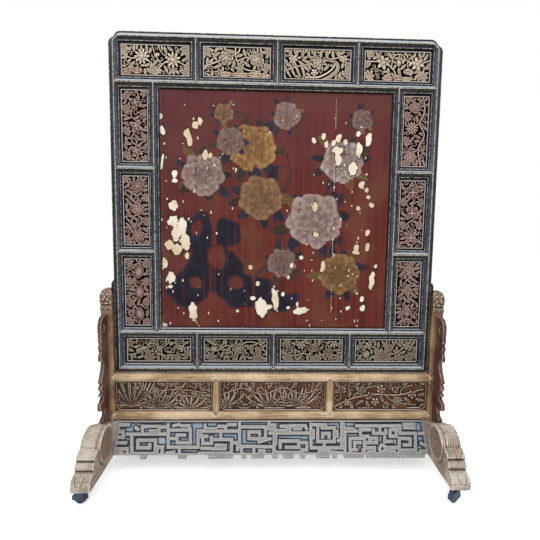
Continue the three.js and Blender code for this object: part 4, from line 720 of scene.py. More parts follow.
def buildFrame(look):
    xs, zs, half, indent = look["columns"], look["rows"], look["half"], look["indent"]
    openings = [(xs[i], xs[i + 1], zs[4], zs[5]) for i in (1, 2)]
    openings += [(xs[i], xs[i + 1], zs[0], zs[1]) for i in range(4)]
    for low, high in ((zs[3], zs[4]), (zs[2], zs[3]), (zs[1], zs[2])):
        openings += [(xs[0], -look["innerStile"], low, high), (look["innerStile"], xs[4], low, high)]
    openings.append((-look["innerStile"], look["innerStile"], zs[1], zs[4]))
    parts = []
    for x0, x1, z0, z1 in openings:
        parts.append(ringPart(x1 - x0, z1 - z0, ((x0 + x1) / 2, 0, (z0 + z1) / 2), look["section"], blackLacquer, wearHighlightAt=look["wearHighlight"]))
    # the two top corners step inward, so their rings and the outer half follow the same line
    line = smoothLine([(1, 0), (0.72, 0.1), (0.54, 0.34), (0.467, 0.467), (0.34, 0.54), (0.1, 0.72), (0, 1)], 4)
    spread = smoothLine([(0.2, 0), (0.1, 0), (0.03, 0), (0, 0), (0, 0.03), (0, 0.1), (0, 0.2)], 4)
    cornerX, cornerZ = xs[4] + half, zs[5] + half
    inX, inZ = xs[4] - half, zs[5] - half
    fan = []
    for (back, down), (sx, sz) in zip(line, spread):
        outer = np.array((cornerX - back * indent, cornerZ - down * indent))
        inner = np.array((inX - sx * indent, inZ - sz * indent))
        fan.append((outer, (outer + inner) / 2, inner))
    mirror = lambda p, sign: (p[0] * sign, p[1])
    for sign in (-1, 1):
        ring = [(mirror(mid, sign), mirror(inner, sign)) for outer, mid, inner in fan]
        ring.append((mirror((xs[4], zs[4]), sign), mirror((inX, zs[4] + half), sign)))
        ring.append((mirror((xs[3], zs[4]), sign), mirror((xs[3] + half, zs[4] + half), sign)))
        ring.append((mirror((xs[3], zs[5]), sign), mirror((xs[3] + half, inZ), sign)))
        parts.append(sweptPart(ring, look["section"], half, look["wearHighlight"]))
    outside = [(mirror(mid, 1), mirror(outer, 1)) for outer, mid, inner in fan]
    outside += [((xs[4], zs[0]), (cornerX, zs[0] - half)), ((xs[0], zs[0]), (-cornerX, zs[0] - half))]
    outside += [(mirror(mid, -1), mirror(outer, -1)) for outer, mid, inner in fan[::-1]]
    parts.append(sweptPart(outside, look["section"], half, look["wearHighlight"]))
    low, high = look["tongue"]
    for sign in (-1, 1):
        side = sorted((sign * 669.5, sign * 682))
        parts.append(boxPart((side[0], -6.5, low), (side[1], 6.5, high - 8)))
        tip = sorted((sign * 669.5, sign * 678))
        parts.append(boxPart((tip[0], -6.5, high - 8), (tip[1], 6.5, high)))
    piece = assembled("screen_frame", parts, [blackLacquer])
    names = [n for n in allNodes if "stile" in n or "muntin" in n or n in ("top_rail", "bottom_rail", "upper_cross_rail", "lower_cross_rail")]
    settled(piece, "screen", names)
    print("frame", len(piece.data.polygons))


buildFrame(frameLook)


# ---- carved panels: openwork before a black sheet painted as the shade in the gaps, in a raised line and a flat surround ----

def stemSpec(width, *places):
    return ("stem", width, places)


panelDesigns = {
    "top_1": [
        stemSpec(4.5, (-1.05, 0.45), (-0.7, 0.1), (-0.4, 0.2), (-0.1, -0.25), (0.05, -0.95)),
        stemSpec(4, (0.05, -0.95), (0.2, -0.3), (0.52, 0.05), (0.9, -0.3), (1.05, -0.5)),
        stemSpec(3.4, (-0.1, 1.05), (0.02, 0.3), (0.2, -0.3)), stemSpec(3.4, (0.52, 0.05), (0.2, 0.5), (0.1, 1.05)),
        ("flower", "daisy", -0.4, 0.24, 30, 5, 0.2), ("flower", "daisy", 0.53, 0.05, 31, 5, 0.0),
        ("rock", (-0.88, -0.82, 46, 30), (-0.55, -0.72, 44, 28), (-0.74, -0.6, 30, 22)),
        ("span", -0.1, -0.9, 40, 1.3, 4, 0.6), ("span", 1.02, 0.9, 46, 3.9, 5, 0.2), ("span", 1.0, -0.9, 44, 2.4, 4, 0.3),
        ("span", -1.02, 0.8, 44, -0.5, 4, 0.2), ("flower", "round", 0.1, -0.72, 12, 5, 0.5), ("pod", 0.05, 0.36, 22, 15, 0.4, 0.5),
        ("leaf", -0.06, -0.4, 30, 11, 0.9), ("leaf", -0.62, -0.1, 34, 12, 3.9),
    ],
    "top_2": [
        stemSpec(5, (-1.05, -0.35), (-0.72, -0.1), (-0.34, 0.28), (0.02, 0.65), (0.1, 1.05)),
        stemSpec(4.5, (-0.05, 1.05), (-0.02, 0.2), (0.25, -0.45), (0.7, -0.6)),
        stemSpec(4, (0.02, 0.1), (0.3, 0.35), (0.6, 0.26), (0.85, -0.1), (1.05, -0.15)),
        ("flower", "rose", -0.33, 0.28, 28, 6, 0.2), ("flower", "rose", 0.6, 0.26, 28, 6, 0.0),
        ("rock", (-0.35, -0.82, 60, 20), (0.1, -0.84, 90, 18), (0.55, -0.82, 80, 20), (0.85, -0.86, 40, 16)),
        ("curl", -0.8, -0.55, 15, 1.3, 0.5, 1), ("curl", -0.62, -0.82, 11, 1.2, 2.5, -1), ("span", -1.0, 0.8, 44, -0.4, 4, 0.4),
        ("span", 1.02, 0.85, 40, 3.8, 4, 0.4), ("span", 0.15, -0.35, 34, 3.6, 4, 0.2), ("span", 0.95, -0.5, 32, 2.6, 4, 0.2),
        ("leaf", -0.05, 0.7, 34, 12, 2.9), ("leaf", 0.28, 0.4, 32, 11, 1.9),
    ],
    "top_3": [
        stemSpec(4, (-1.05, -0.5), (-0.5, -0.1), (0, 0.05), (0.35, 0.35), (0.75, 0.5), (1.05, 0.3)),
        stemSpec(15, (0.32, 0.36), (0.58, 0.1), (0.6, -0.35), (0.4, -0.8), (0.2, -1.05)),
        stemSpec(6, (-0.35, -0.9), (0.05, -0.85), (0.4, -0.4), (0.55, 0.1)),
        *[("leaf", -0.84 + 0.19 * i, 0.42, 32, 11, 1.45 + 0.03 * i) for i in range(9)],
        ("flower", "round", -0.76, 0.32, 17, 6, 0.4), ("flower", "rose", 0.0, 0.06, 22, 5, 0.1),
        *[("leaf", -0.95 + 0.15 * i, -0.98, 72, 9, 2.15 - 0.06 * i) for i in range(5)],
        ("leaf", -0.62, 0.25, 66, 11, -0.75), ("leaf", -0.5, 0.3, 60, 11, -0.45), ("flower", "round", -0.1, -0.56, 14, 5, 0.9),
        ("span", 0.85, -0.15, 34, 0.2, 5, 0.2), ("span", 0.85, -0.8, 36, 0.9, 5, 0.2), ("flower", "round", 0.78, 0.42, 15, 5, 0.3),
    ],
    "top_4": [
        stemSpec(4.5, (-1.05, 0.3), (-0.45, 0.25), (-0.1, -0.3), (-0.05, -1.05)),
        stemSpec(4, (-0.2, -0.1), (-0.12, 0.7), (0.12, 0.82), (0.3, 0.4), (0.62, 0.2), (1.05, 0.5)),
        stemSpec(3.4, (0.06, 0.8), (0.03, 0.4)), stemSpec(3.4, (0.3, 0.4), (0.35, -0.3), (0.5, -0.9)),
        ("flower", "melon", -0.45, 0.25, 29, 6, 0.0), ("flower", "melon", 0.62, 0.2, 29, 6, 0.2),
        ("pod", 0.03, 0.24, 26, 18, 1.57, 0.6), ("leaf", 0.18, -0.35, 44, 24, -0.1), ("pod", 0.4, 0.2, 18, 12, 1.2, 0.4),
        ("rock", (-0.3, -0.84, 46, 20), (0.02, -0.78, 44, 24), (0.3, -0.86, 46, 18)),
        ("span", -0.95, -0.1, 34, 2.0, 5, 0.2), ("span", -0.95, -0.85, 40, 0.9, 5, 0.2), ("span", 0.72, -0.75, 40, 0.6, 5, 0.3),
        ("span", -0.95, 0.75, 30, 0.2, 4, 0.3), ("leaf", -0.2, -0.5, 34, 13, 3.6),
    ],
    "bottom_1": [
        stemSpec(4.2, (-1.05, -0.5), (-0.6, -0.2), (-0.25, 0.6), (0.05, 0.1), (0.1, -1.05)),
        stemSpec(4, (0.05, 0.1), (0.4, 0.7), (0.75, 0.2), (1.05, 0.35)), stemSpec(3.6, (0.1, -0.5), (0.5, -0.5), (0.8, -0.85)),
        ("bird", -0.62, 0.0, 30, 0.3), ("flower", "round", 0.72, 0.15, 16, 5, 0.6), ("pod", 0.4, 0.55, 18, 11, 0.5, 0.4),
        ("curl", 0.45, -0.1, 13, 1.2, 0.4, 1), ("curl", -0.2, 0.2, 11, 1.1, 2.0, -1), ("span", -1.0, 0.7, 36, -0.4, 4, 0.7),
        ("span", 0.95, -0.6, 36, 2.5, 4, 0.7), ("span", -0.3, -0.9, 40, 1.6, 5, 0.8), ("leaf", 0.1, -0.2, 34, 11, 2.4),
    ],
    "bottom_2": [
        stemSpec(4.6, (-1.05, 0.2), (-0.65, -0.1), (-0.3, 0.4), (0.06, 0.1), (0.02, -1.05)),
        stemSpec(5, (0.06, 0.1), (0.35, 0.75), (0.75, 0.6), (0.92, 0), (1.05, -0.4)),
        ("flower", "rose", 0.07, 0.1, 24, 6, 0.2), ("curl", -0.2, -0.4, 15, 1.2, 0.6, -1), ("curl", 0.35, -0.4, 15, 1.2, 2.5, 1),
        ("pod", -0.7, 0.1, 34, 26, 0.2, 0.3), ("leaf", -0.95, 0.9, 50, 14, -0.5), ("span", 0.65, -0.1, 32, 0.2, 5, 0.3),
        ("span", -0.85, -0.9, 40, 1.1, 5, 0.3), ("span", 0.75, -0.95, 36, 1.9, 5, 0.4), ("flower", "round", -0.35, 0.72, 11, 5, 0.4),
    ],
    "bottom_3": [
        stemSpec(4.6, (-1.05, 0), (-0.6, -0.5), (-0.25, -0.3), (0.05, -0.6), (0.5, -0.35), (1.05, -0.6)),
        stemSpec(4, (-0.25, -0.3), (-0.35, 0.6), (-0.1, 1.05)), stemSpec(4, (0.5, -0.35), (0.72, 0.6), (1.05, 0.6)),
        ("flower", "round", -0.35, 0.5, 18, 6, 0.2), ("rock", (0.08, 0.3, 44, 34), (0.06, 0.12, 60, 26), (0.56, -0.1, 48, 30)),
        ("flower", "round", 0.74, 0.58, 16, 5, 0.3), ("span", -0.9, 0.85, 36, -0.6, 5, 0.3), ("span", -0.8, -0.95, 40, 1.3, 5, 0.4),
        ("span", 0.2, -0.95, 34, 1.7, 5, 0.4), ("span", 0.95, -0.9, 34, 2.4, 4, 0.2), ("curl", -0.75, 0.1, 12, 1.2, 0, 1),
    ],
    "bottom_4": [
        stemSpec(4.8, (-1.05, 0.1), (-0.6, 0.45), (-0.2, -0.1), (-0.1, -1.05)),
        stemSpec(4.2, (-0.1, -0.6), (0.35, -0.2), (0.7, 0.45), (1.05, 0.2)), stemSpec(3.6, (0.1, 1.05), (0.1, 0.5)),
        ("flower", "cross", -0.6, 0.45, 17, 4, 0.2), ("flower", "cross", 0.7, 0.45, 17, 4, 0.2), ("span", 0.1, 0.55, 34, -1.57, 7, 0.3),
        ("span", -0.1, -0.8, 56, 1.2, 5, 0.4), ("span", -0.1, -0.85, 60, 2.3, 5, 0.3), ("flower", "daisy", -0.66, -0.35, 17, 5, 0.2),
        ("span", 0.9, -0.8, 44, 2.4, 6, 0.4), ("span", 0.4, -0.9, 34, 1.4, 5, 0.3),
    ],
    "left_1": [
        stemSpec(4.5, (-0.1, 1.05), (0.3, 0.85), (-0.3, 0.33), (0.3, 0.05), (-0.3, -0.38), (0.3, -0.65), (0, -1.05)),
        *[("flower", "cross", 0.1, v, 27, 4, 0.1 * i) for i, v in enumerate((0.66, 0.0, -0.7))],
        *[("pod", 0.1, v, 22, 14, 1.57, 0.2) for v in (0.66, 0.0, -0.7)],
        *[("span", -0.85, v, 34, a, 5, 0.6) for v, a in ((0.42, 0.6), (-0.2, 0.8), (-0.9, 0.8), (0.9, -0.7))],
        *[("span", 0.9, v, 28, 3.0, 4, 0.3) for v in (0.36, -0.35, 0.92, -0.95)],
    ],
    "left_2": [
        stemSpec(4.5, (0.2, 1.05), (0.1, 0.72), (-0.4, 0.42), (0.15, 0.05), (-0.45, -0.35), (0.2, -0.72), (0.1, -1.05)),
        *[("flower", "rose", 0.12, v, 26, 6, 0.15 * i) for i, v in enumerate((0.72, 0.04, -0.74))],
        *[("leaf", -0.9, v, 66, 11, a) for v, a in ((0.62, -0.5), (0.5, -0.75), (0.38, -0.95), (-0.1, -0.5), (-0.22, -0.75), (-0.34, -1.0))],
        *[("span", 0.95, v, 30, 3.3, 5, 0.5) for v in (0.4, -0.3, -0.98)], ("span", -0.9, -0.95, 40, 1.2, 5, 0.4), ("span", -0.9, 0.95, 30, -0.6, 4, 0.3),
    ],
    "left_3": [
        stemSpec(4.5, (-0.2, 1.05), (0.3, 0.72), (-0.35, 0.36), (0.25, 0), (-0.35, -0.34), (0.2, -0.66), (0, -1.05)),
        *[("pod", 0.12, v, 56, 36, a, 0.1) for v, a in ((0.62, 1.3), (0.0, 1.5), (-0.66, 1.75))],
        *[("span", 0.9, v, 30, 3.1, 6, 0.5) for v in (0.86, 0.32, -0.3, -0.92)],
        *[("span", -0.9, v, 34, 0.4, 5, 0.6) for v in (0.86, 0.3, -0.34, -0.92)],
    ],
    "right_1": [
        stemSpec(6, (0.5, 1.05), (0.7, 0.6), (0.35, 0.25), (0.75, -0.1), (0.3, -0.5), (0.6, -1.05)),
        stemSpec(4, (0.35, 0.25), (-0.3, 0.1)), stemSpec(4, (0.7, 0.6), (-0.1, 0.7)), stemSpec(4, (0.3, -0.5), (-0.4, -0.7)),
        ("flower", "daisy", -0.3, 0.1, 26, 6, 0.1), ("flower", "rose", -0.12, 0.7, 23, 6, 0.2), ("flower", "rose", -0.35, -0.74, 26, 6, 0.8),
        *[("span", -0.9, v, 34, 0.2, 5, 0.4) for v in (0.95, 0.42, -0.3, -0.98)], *[("curl", 0.7, v, 11, 1.2, 1.0, 1) for v in (0.35, -0.3, -0.8)],
    ],
    "right_2": [
        stemSpec(4, (0, 1.05), (0.5, 0.7), (-0.5, 0.34), (0.5, 0), (-0.5, -0.36), (0.4, -0.7), (0, -1.05)),
        *[("flower", "cross", 0.02, v, 31, 4, 0.1 * i) for i, v in enumerate((0.66, 0.04, -0.7))],
        *[("span", s * 0.9, v, 30, a, 5, 0.5) for s, v, a in ((-1, 0.36, 0.2), (1, 0.36, 3.0), (-1, -0.34, 0.2), (1, -0.34, 3.0))],
        *[("curl", s * 0.6, v, 10, 1.1, 0.5, s) for s, v in ((-1, 0.95), (1, 0.95), (-1, -0.98), (1, -0.98))],
    ],
    "right_3": [
        stemSpec(4, (0, 1.05), (0.4, 0.68), (-0.4, 0.3), (0.4, 0), (-0.4, -0.34), (0.4, -0.66), (0, -1.05)),
        *[("leaf", -0.75 * s, v - 0.14, 86, 13, math.pi / 2 - s * 0.62) for v in (0.65, 0.0, -0.65) for s in (-1, 1)],
        *[("leaf", -0.9 * s, v, 74, 12, math.pi / 2 - s * 0.95) for v in (0.55, -0.1, -0.75) for s in (-1, 1)],
        *[("flower", "round", 0.0, v, 12, 5, 0.3) for v in (0.68, 0.04, -0.6)],
        *[("leaf", 0.9, v, 70, 11, 2.5) for v in (-0.98, -0.3, 0.35)], ("leaf", -0.9, -0.95, 60, 12, 0.5),
    ],
}


def carve(sheet, halfU, halfV, design):
    for item in design:
        kind = item[0]
        if kind == "stem":
            stemOn(sheet, [(a * halfU, b * halfV) for a, b in item[2]], item[1])
        elif kind == "flower":
            flowerOn(sheet, (item[2] * halfU, item[3] * halfV), item[4], item[5], item[2] * 3, item[6], kind=item[1])
        elif kind == "leaf":
            leafOn(sheet, (item[1] * halfU, item[2] * halfV), item[3], item[4], item[5], 2.5, tone=0.4)
        elif kind == "span":
            spanOn(sheet, (item[1] * halfU, item[2] * halfV), item[3], item[4], item[5], tone=item[6])
        elif kind == "pod":
            podOn(sheet, (item[1] * halfU, item[2] * halfV), item[3], item[4], item[5], item[6])
        elif kind == "curl":
            curlOn(sheet, (item[1] * halfU, item[2] * halfV), item[3], item[4], item[5], item[6])
        elif kind == "rock":
            for a, b, length, tall in item[1:]:
                ovalOn(sheet, (a * halfU, b * halfV), length, tall, 0, 1.4, 4.0, 0.9, 0, 0.4)
        elif kind == "bird":
            x, y, size = item[1] * halfU, item[2] * halfV, item[3]
            for k in range(4):
                leafOn(sheet, (x + size * 0.3, y), size * 1.1, 6, -0.5 + 0.22 * k, 0, tone=item[4])
            ovalOn(sheet, (x, y), size * 1.1, size * 0.52, 0.35, 1.6, 5.0, item[4])
            leafOn(sheet, (x + size * 0.1, y + size * 0.1), size * 0.9, 10, 0.2, 3, 3.0, 5.4, tone=item[4])
            ovalOn(sheet, (x - size * 0.5, y + size * 0.42), size * 0.42, size * 0.36, 0, 2.4, 5.2, item[4])
            leafOn(sheet, (x - size * 0.6, y + size * 0.44), size * 0.34, 4, 3.3, 0, 2.0, 3.4, tone=item[4])


panelLook = {
    "groove": 5.7,
    "surround": -1.8,
    "borderTop": -4.4,
    "borderWide": 3.4,
    "ground": 5.0,
    "step": 1.3,
    "voidLeast": 5.4,
    "mostFillers": 34,
}


def carvedPanel(node, design, marginX, marginZ, finish, seed, look):
    low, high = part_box(node)
    centre = [(low[i] + high[i]) * 500 for i in range(3)]
    wide = (high[0] - low[0]) * 1000 - 2 * look["groove"]
    tall = (high[2] - low[2]) * 1000 - 2 * look["groove"]
    halfU, halfV = wide / 2 - marginX, tall / 2 - marginZ
    sheet = blankSheet(2 * halfU, 2 * halfV, look["step"] * (1))
    carve(sheet, halfU, halfV, design)
    fillVoids(sheet, look["voidLeast"], look["mostFillers"], seed)
    place = lambda u, v, depth: (u + centre[0], -depth, v + centre[2])
    parts = [carvedPart(sheet, -look["surround"], -look["ground"] + 0.2, place, deepShade=0.75)]
    at = (centre[0], 0, centre[2])
    rim = max(marginX, marginZ)
    flat = [(0, look["surround"]), (marginX + 0.2, look["surround"]), (marginX + 0.2, 6.8), (0, 6.8)]
    if abs(marginX - marginZ) < 0.01:
        parts.append(ringPart(wide + 0.8, tall + 0.8, at, flat, blackLacquer, 1))
    else:
        x, z = halfU, halfV
        for box in (((-wide / 2 - 0.4, z), (wide / 2 + 0.4, tall / 2 + 0.4)), ((-wide / 2 - 0.4, -tall / 2 - 0.4), (wide / 2 + 0.4, -z)),
                    ((-wide / 2 - 0.4, -z), (-x, z)), ((x, -z), (wide / 2 + 0.4, z))):
            (x0, z0), (x1, z1) = box
            parts.append(boxPart((x0 + at[0], look["surround"], z0 + at[2]), (x1 + at[0], 6.8, z1 + at[2]), 1))
    top, b = look["borderTop"], look["borderWide"]
    bead = [(0, look["surround"] + 0.3), (0, top + 0.9), (0.5, top + 0.2), (b / 2, top), (b - 0.5, top + 0.2), (b, top + 0.9), (b, 1.0)]
    # the raised line is paler along its top: rubbing and a painted highlight
    parts.append(ringPart(2 * (halfU + b), 2 * (halfV + b), at, bead, finish, 2, ((0.5, top + 0.2, 0.8), (b / 2, top, 1.0), (b - 0.5, top + 0.2, 0.8))))
    # black sheet behind the openwork: painted shade seen through the gaps
    parts.append(boxPart((at[0] - halfU - 1, look["ground"], at[2] - halfV - 1), (at[0] + halfU + 1, 6.8, at[2] + halfV + 1), 3))
    piece = assembled(node + "_carving", parts, [finish, surroundLacquer, borderLine, gapShadeSheet], 0.75)
    settled(piece, "screen", [node])
    return len(piece.data.polygons)


def buildPanels():
    faces = 0
    for index, (key, design) in enumerate(panelDesigns.items()):
        row, number = key.split("_")
        side = row in ("left", "right")
        finish, slotName = {"top": (topGilt, "top_carving"), "bottom": (bottomGilt, "bottom_carving")}.get(row, (sideGilt, "side_carving"))
        faces += carvedPanel(f"{row}_carved_panel_{number}", design, 8.5 if side else 12, 12, finish, 60 + index, panelLook)
    print("carved panels", faces, "faces")


buildPanels()



# Painted board: a spray of peonies, leaves and pierced rocks in aged pigments, chipped down to the ground coat
boardLook = {
    "step": 4.5,
    "rocks": ((-250, -235, 190, 165), (-120, -330, 190, 120), (-318, -95, 105, 150), (-200, -90, 90, 110), (-365, -330, 130, 120),
              (20, -372, 130, 70)),
    "rockHoles": ((-240, -190, 46, 64), (-160, -300, 40, 34), (-322, -70, 26, 42), (-330, -300, 34, 30)),
    "branches": (
        (17, (-90, -280), (10, -150), (-10, 20), (60, 150), (10, 300), (-110, 390), (-210, 405)),
        (13, (-5, -20), (130, 20), (235, 120), (250, 250), (330, 370)),
        (11, (5, -140), (120, -190), (250, -180), (360, -250)),
        (10, (40, 190), (-90, 180), (-210, 215), (-300, 180)),
    ),
    "peonies": ((165, -30, 112, "a58f89"), (-95, 262, 96, "9c774a"), (275, 215, 84, "a8948d"), (-300, 150, 84, "9d8780"),
                (275, -255, 82, "876843"), (40, 395, 54, "978079"), (-215, 400, 38, "8f7355"), (352, 385, 42, "8a736c"),
                (-60, 60, 88, "8b6a4c"), (30, -210, 60, "85706a"), (-190, 290, 54, "8a736c")),
    "leafTones": ("191c26", "1f2530", "5c4a2b", "2e2b24", "2c2224", "1b2130"),
    "seams": ((-345, -60, 200), (-345, -500, -330), (-62, -120, 300), (243, -500, 500), (8, -500, -300)),
    "chips": (
        (-364, 315, 23, 36), (-354, 286, 19, 42), (-331, 350, 23, 29), (-312, 366, 15, 29), (-291, 231, 19, 36), (-270, 229, 15, 19),
        (-253, 192, 10, 13), (-416, 154, 19, 29), (-416, 125, 18, 19), (-424, 24, 32, 39), (-471, 381, 11, 23), (-465, 327, 19, 36),
        (-467, 199, 8, 71), (154, 298, 15, 23), (194, 316, 15, 29), (206, 282, 15, 26), (236, 289, 16, 23), (257, 310, 19, 36),
        (255, 260, 39, 29), (257, 225, 23, 49), (286, 294, 15, 23), (338, 329, 15, 23), (343, 265, 23, 55), (381, 305, 21, 52),
        (318, 186, 31, 50), (358, 122, 19, 29), (381, 99, 15, 19), (389, 70, 16, 16), (403, 38, 19, 19), (165, 27, 18, 36),
        (346, 24, 16, 19), (-425, -40, 36, 42), (-387, -63, 32, 71), (-413, -93, 29, 65), (-374, -126, 32, 71), (-441, -140, 29, 36),
        (-410, -160, 36, 42), (-367, -184, 16, 26), (-460, -216, 18, 39), (-434, -277, 29, 45), (-438, -316, 19, 13),
        (-103, -230, 15, 19), (-71, -299, 15, 19), (-92, -363, 19, 18), (-55, -404, 42, 75), (-28, -400, 39, 19), (4, -366, 23, 97),
        (-344, -422, 29, 71), (-156, -419, 13, 13), (-468, -481, 26, 19), (171, -89, 23, 19), (345, -143, 19, 29), (344, -163, 29, 16),
        (389, -78, 16, 26), (391, -139, 15, 39), (112, -187, 16, 16), (72, -221, 13, 19), (204, -224, 16, 45), (58, -273, 10, 16),
        (430, -221, 11, 16), (415, -283, 19, 75), (375, -363, 16, 24), (380, -403, 19, 26), (313, -404, 13, 18), (114, -416, 52, 29),
        (36, -346, 13, 19), (60, -403, 13, 13), (98, -389, 8, 23)),
}


def buildPaintedBoard(look):
    low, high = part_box("painted_board")
    centre = [(low[i] + high[i]) * 500 for i in range(3)]
    wide, tall = [(high[i] - low[i]) * 1000 - 2 * 5.7 for i in (0, 2)]
    step = look["step"] * 1
    sheet = blankSheet(wide, tall, step)
    u, v = sheet["u"], sheet["v"]
    dice = np.random.default_rng(17)
    pigment = np.tile(np.array(linear("6a322b")[:3]), u.shape + (1,))
    cover, relief = np.zeros(u.shape), np.zeros(u.shape)

    def brush(far, colour, shade, soft=5.0, most=1.0, lift=0.25):
        nonlocal pigment, cover, relief
        share = np.clip(0.5 - far / soft, 0, 1)[..., None]
        tinted = np.array(linear(colour)[:3]) * shade[..., None]
        pigment = pigment * (1 - share) + tinted * share
        cover = np.maximum(cover * (1 - share[..., 0] * (1 - most)), share[..., 0] * most)
        relief = np.maximum(relief, lift * share[..., 0])

    def oval(x, y, a, b, angle=0.0):
        s, t = turned(sheet, (x, y), angle)
        k = np.sqrt((s / a) ** 2 + (t / b) ** 2) + 1e-9
        return (k - 1) * min(a, b), s, t, k

    def lens(x, y, length, width, angle, colour):
        s, t = turned(sheet, (x, y), angle)
        bow = (length ** 2 + width ** 2) / (4 * width)
        off = bow - width / 2
        far = np.maximum(np.hypot(s - length / 2, t - off), np.hypot(s - length / 2, t + off)) - bow
        veins = 0.86 + 0.3 * np.cos(2 * np.pi * (s / 15 - np.abs(t) / 9)) * (far < -4) + 0.9 * np.exp(-(t / 1.8) ** 2)
        brush(far, colour, veins * (1 + 0.5 * (far > -5)))

    wobble = 9 * np.sin(u / 31 + 1) * np.cos(v / 27) + 5 * np.sin(u / 13) * np.sin(v / 17)
    mass = np.min([oval(x, y, a / 1.0, b / 1.0)[0] for x, y, a, b in [(x, y, a / 1.6, b / 1.6) for x, y, a, b in look["rocks"]]], axis=0) + wobble
    for x, y, a, b in look["rockHoles"]:
        mass = np.maximum(mass, -(oval(x, y, a * 0.75, b * 0.75)[0] + wobble * 0.6))
    folds = 0.75 + 0.5 * np.clip(np.cos((v + 0.6 * u + wobble * 3) / 17), 0, 1) ** 4 + 0.7 * np.exp(-((mass + 7) / 3.5) ** 2)
    brush(mass, "131a28", folds, 6)
    for width, *line in look["branches"]:
        blank = {"u": u, "v": v, "far": np.full(u.shape, 99.0), "rise": np.zeros(u.shape), "tone": np.zeros(u.shape), "step": step}
        stemOn(blank, line, width, taper=0.55)
        brush(blank["far"], "38292a", 0.8 + 0.6 * np.clip(np.sin((u - v) / 7), 0, 1), 4)
    for x, y, size, tint in look["peonies"]:
        for k in range(9):
            angle = k * 0.7 + dice.uniform(-0.3, 0.3)
            lens(x + size * 0.55 * math.cos(angle), y + size * 0.55 * math.sin(angle), size * dice.uniform(0.75, 1.25), size * dice.uniform(0.36, 0.5),
                 angle + dice.uniform(-0.4, 0.4), look["leafTones"][dice.integers(6)])
        for ring, (count, reach, petal) in enumerate(((8, 0.66, 0.5), (6, 0.42, 0.42), (4, 0.2, 0.3))):
            turn = dice.uniform(0, 6)
            for i in range(count):
                angle = turn + i * 2 * math.pi / count
                angle += dice.uniform(-0.16, 0.16)
                far, s, t, k = oval(x + reach * size * math.cos(angle), y + reach * size * math.sin(angle),
                                    petal * size * dice.uniform(0.66, 0.88), petal * size * dice.uniform(0.78, 1.0), angle)
                far = far + 0.05 * size * np.sin(3.1 * np.arctan2(t, s) + angle * 5) * np.clip(k, 0, 1)
                shade = 0.5 + 0.62 * np.clip(k, 0, 1) ** 2 + 0.1 * np.cos(t / 4.5) - 0.42 * np.exp(-((far + 1) / 3.0) ** 2)
                brush(far, tint, shade * (1 - 0.08 * ring) * dice.uniform(0.86, 1.12), 4, 0.6)
    chip = np.zeros(u.shape)
    for x, y, w, h in look["chips"]:
        far, s, t, k = oval(x, y, w * 0.62, h * 0.56, dice.uniform(-0.2, 0.2))
        k = k + 0.18 * np.sin(s / 5.1 + x) * np.sin(t / 6.3 + y)
        chip = np.maximum(chip, np.clip(1.0 - k * 0.5, 0, 1) * (k < 2))
    for i in range(150):  # small scattered specks, most of them low and to the left
        x, y = -wide / 2 * dice.random() ** 0.5 * dice.choice([1, -0.8]), tall / 2 - tall * dice.random() ** 0.7
        far, s, t, k = oval(x, y, dice.uniform(2.5, 5), dice.uniform(3, 9))
        chip = np.maximum(chip, np.clip(1 - k * 0.5, 0, 1) * (k < 2) * 0.9)
    seam = np.zeros(u.shape)
    for x, lowEnd, highEnd in look["seams"]:
        along = eased(lowEnd, lowEnd + 30, v) * (1 - eased(highEnd - 30, highEnd, v))
        seam = np.maximum(seam, np.exp(-((u - x) / 3.2) ** 2) * along)
        chip = np.maximum(chip, np.exp(-((u - x) / 3.0) ** 2) * along * (0.3 + 0.3 * (np.sin(v / 41 + x) > 0.1)))
    edge = np.minimum(wide / 2 - np.abs(u), tall / 2 - np.abs(v))
    sheet["far"] = np.full(u.shape, -50.0)
    sheet["rise"] = relief - 0.35 * (chip > 0.5) - 0.3 * seam
    place = lambda a, b, depth: (a + centre[0], -depth, b + centre[2])
    part = carvedPart(sheet, 1.6, -6.8, place, False)
    half = len(part["points"]) // 2
    extra = {"cover": cover.ravel(), "chip": chip.ravel()}
    part["tone"] = np.concatenate([np.clip(eased(-150, 480, v) * 0.8 + eased(-100, -460, u) * 0.35, 0, 1).ravel(), np.zeros(half)])
    # painted shadow cast by the frame along the board's edges, dark lines along the plank seams, and half shade on the
    # back
    part["hollow"] = np.concatenate([np.maximum(0.95 * np.exp(-edge / 9), seam * 0.4).ravel(), np.full(half, 0.4)])
    part["wearHighlight"] = np.concatenate([(0.5 * np.exp(-((u + 472) / 7) ** 2)).ravel(), np.zeros(half)])
    piece = assembled("painted_board_front", [part, boxPart((centre[0] - wide / 2 - 5, 0.2, centre[2] - tall / 2 - 5),
                                                          (centre[0] + wide / 2 + 5, 6.7, centre[2] + tall / 2 + 5))], [redLacquer])
    total = len(piece.data.vertices)
    for key, array in extra.items():
        values = np.zeros(total, np.float32)
        values[:half] = array
        piece.data.attributes.new(key, "FLOAT", "POINT").data.foreach_set("value", values)
    tints = np.zeros((total, 4), np.float32)
    tints[:half, :3] = pigment.reshape(-1, 3)
    tints[:, 3] = 1
    piece.data.attributes.new("pigment", "FLOAT_COLOR", "POINT").data.foreach_set("color", tints.ravel())
    settled(piece, "screen", ["painted_board"])
    print("painted board", len(piece.data.polygons), "faces")


buildPaintedBoard(boardLook)



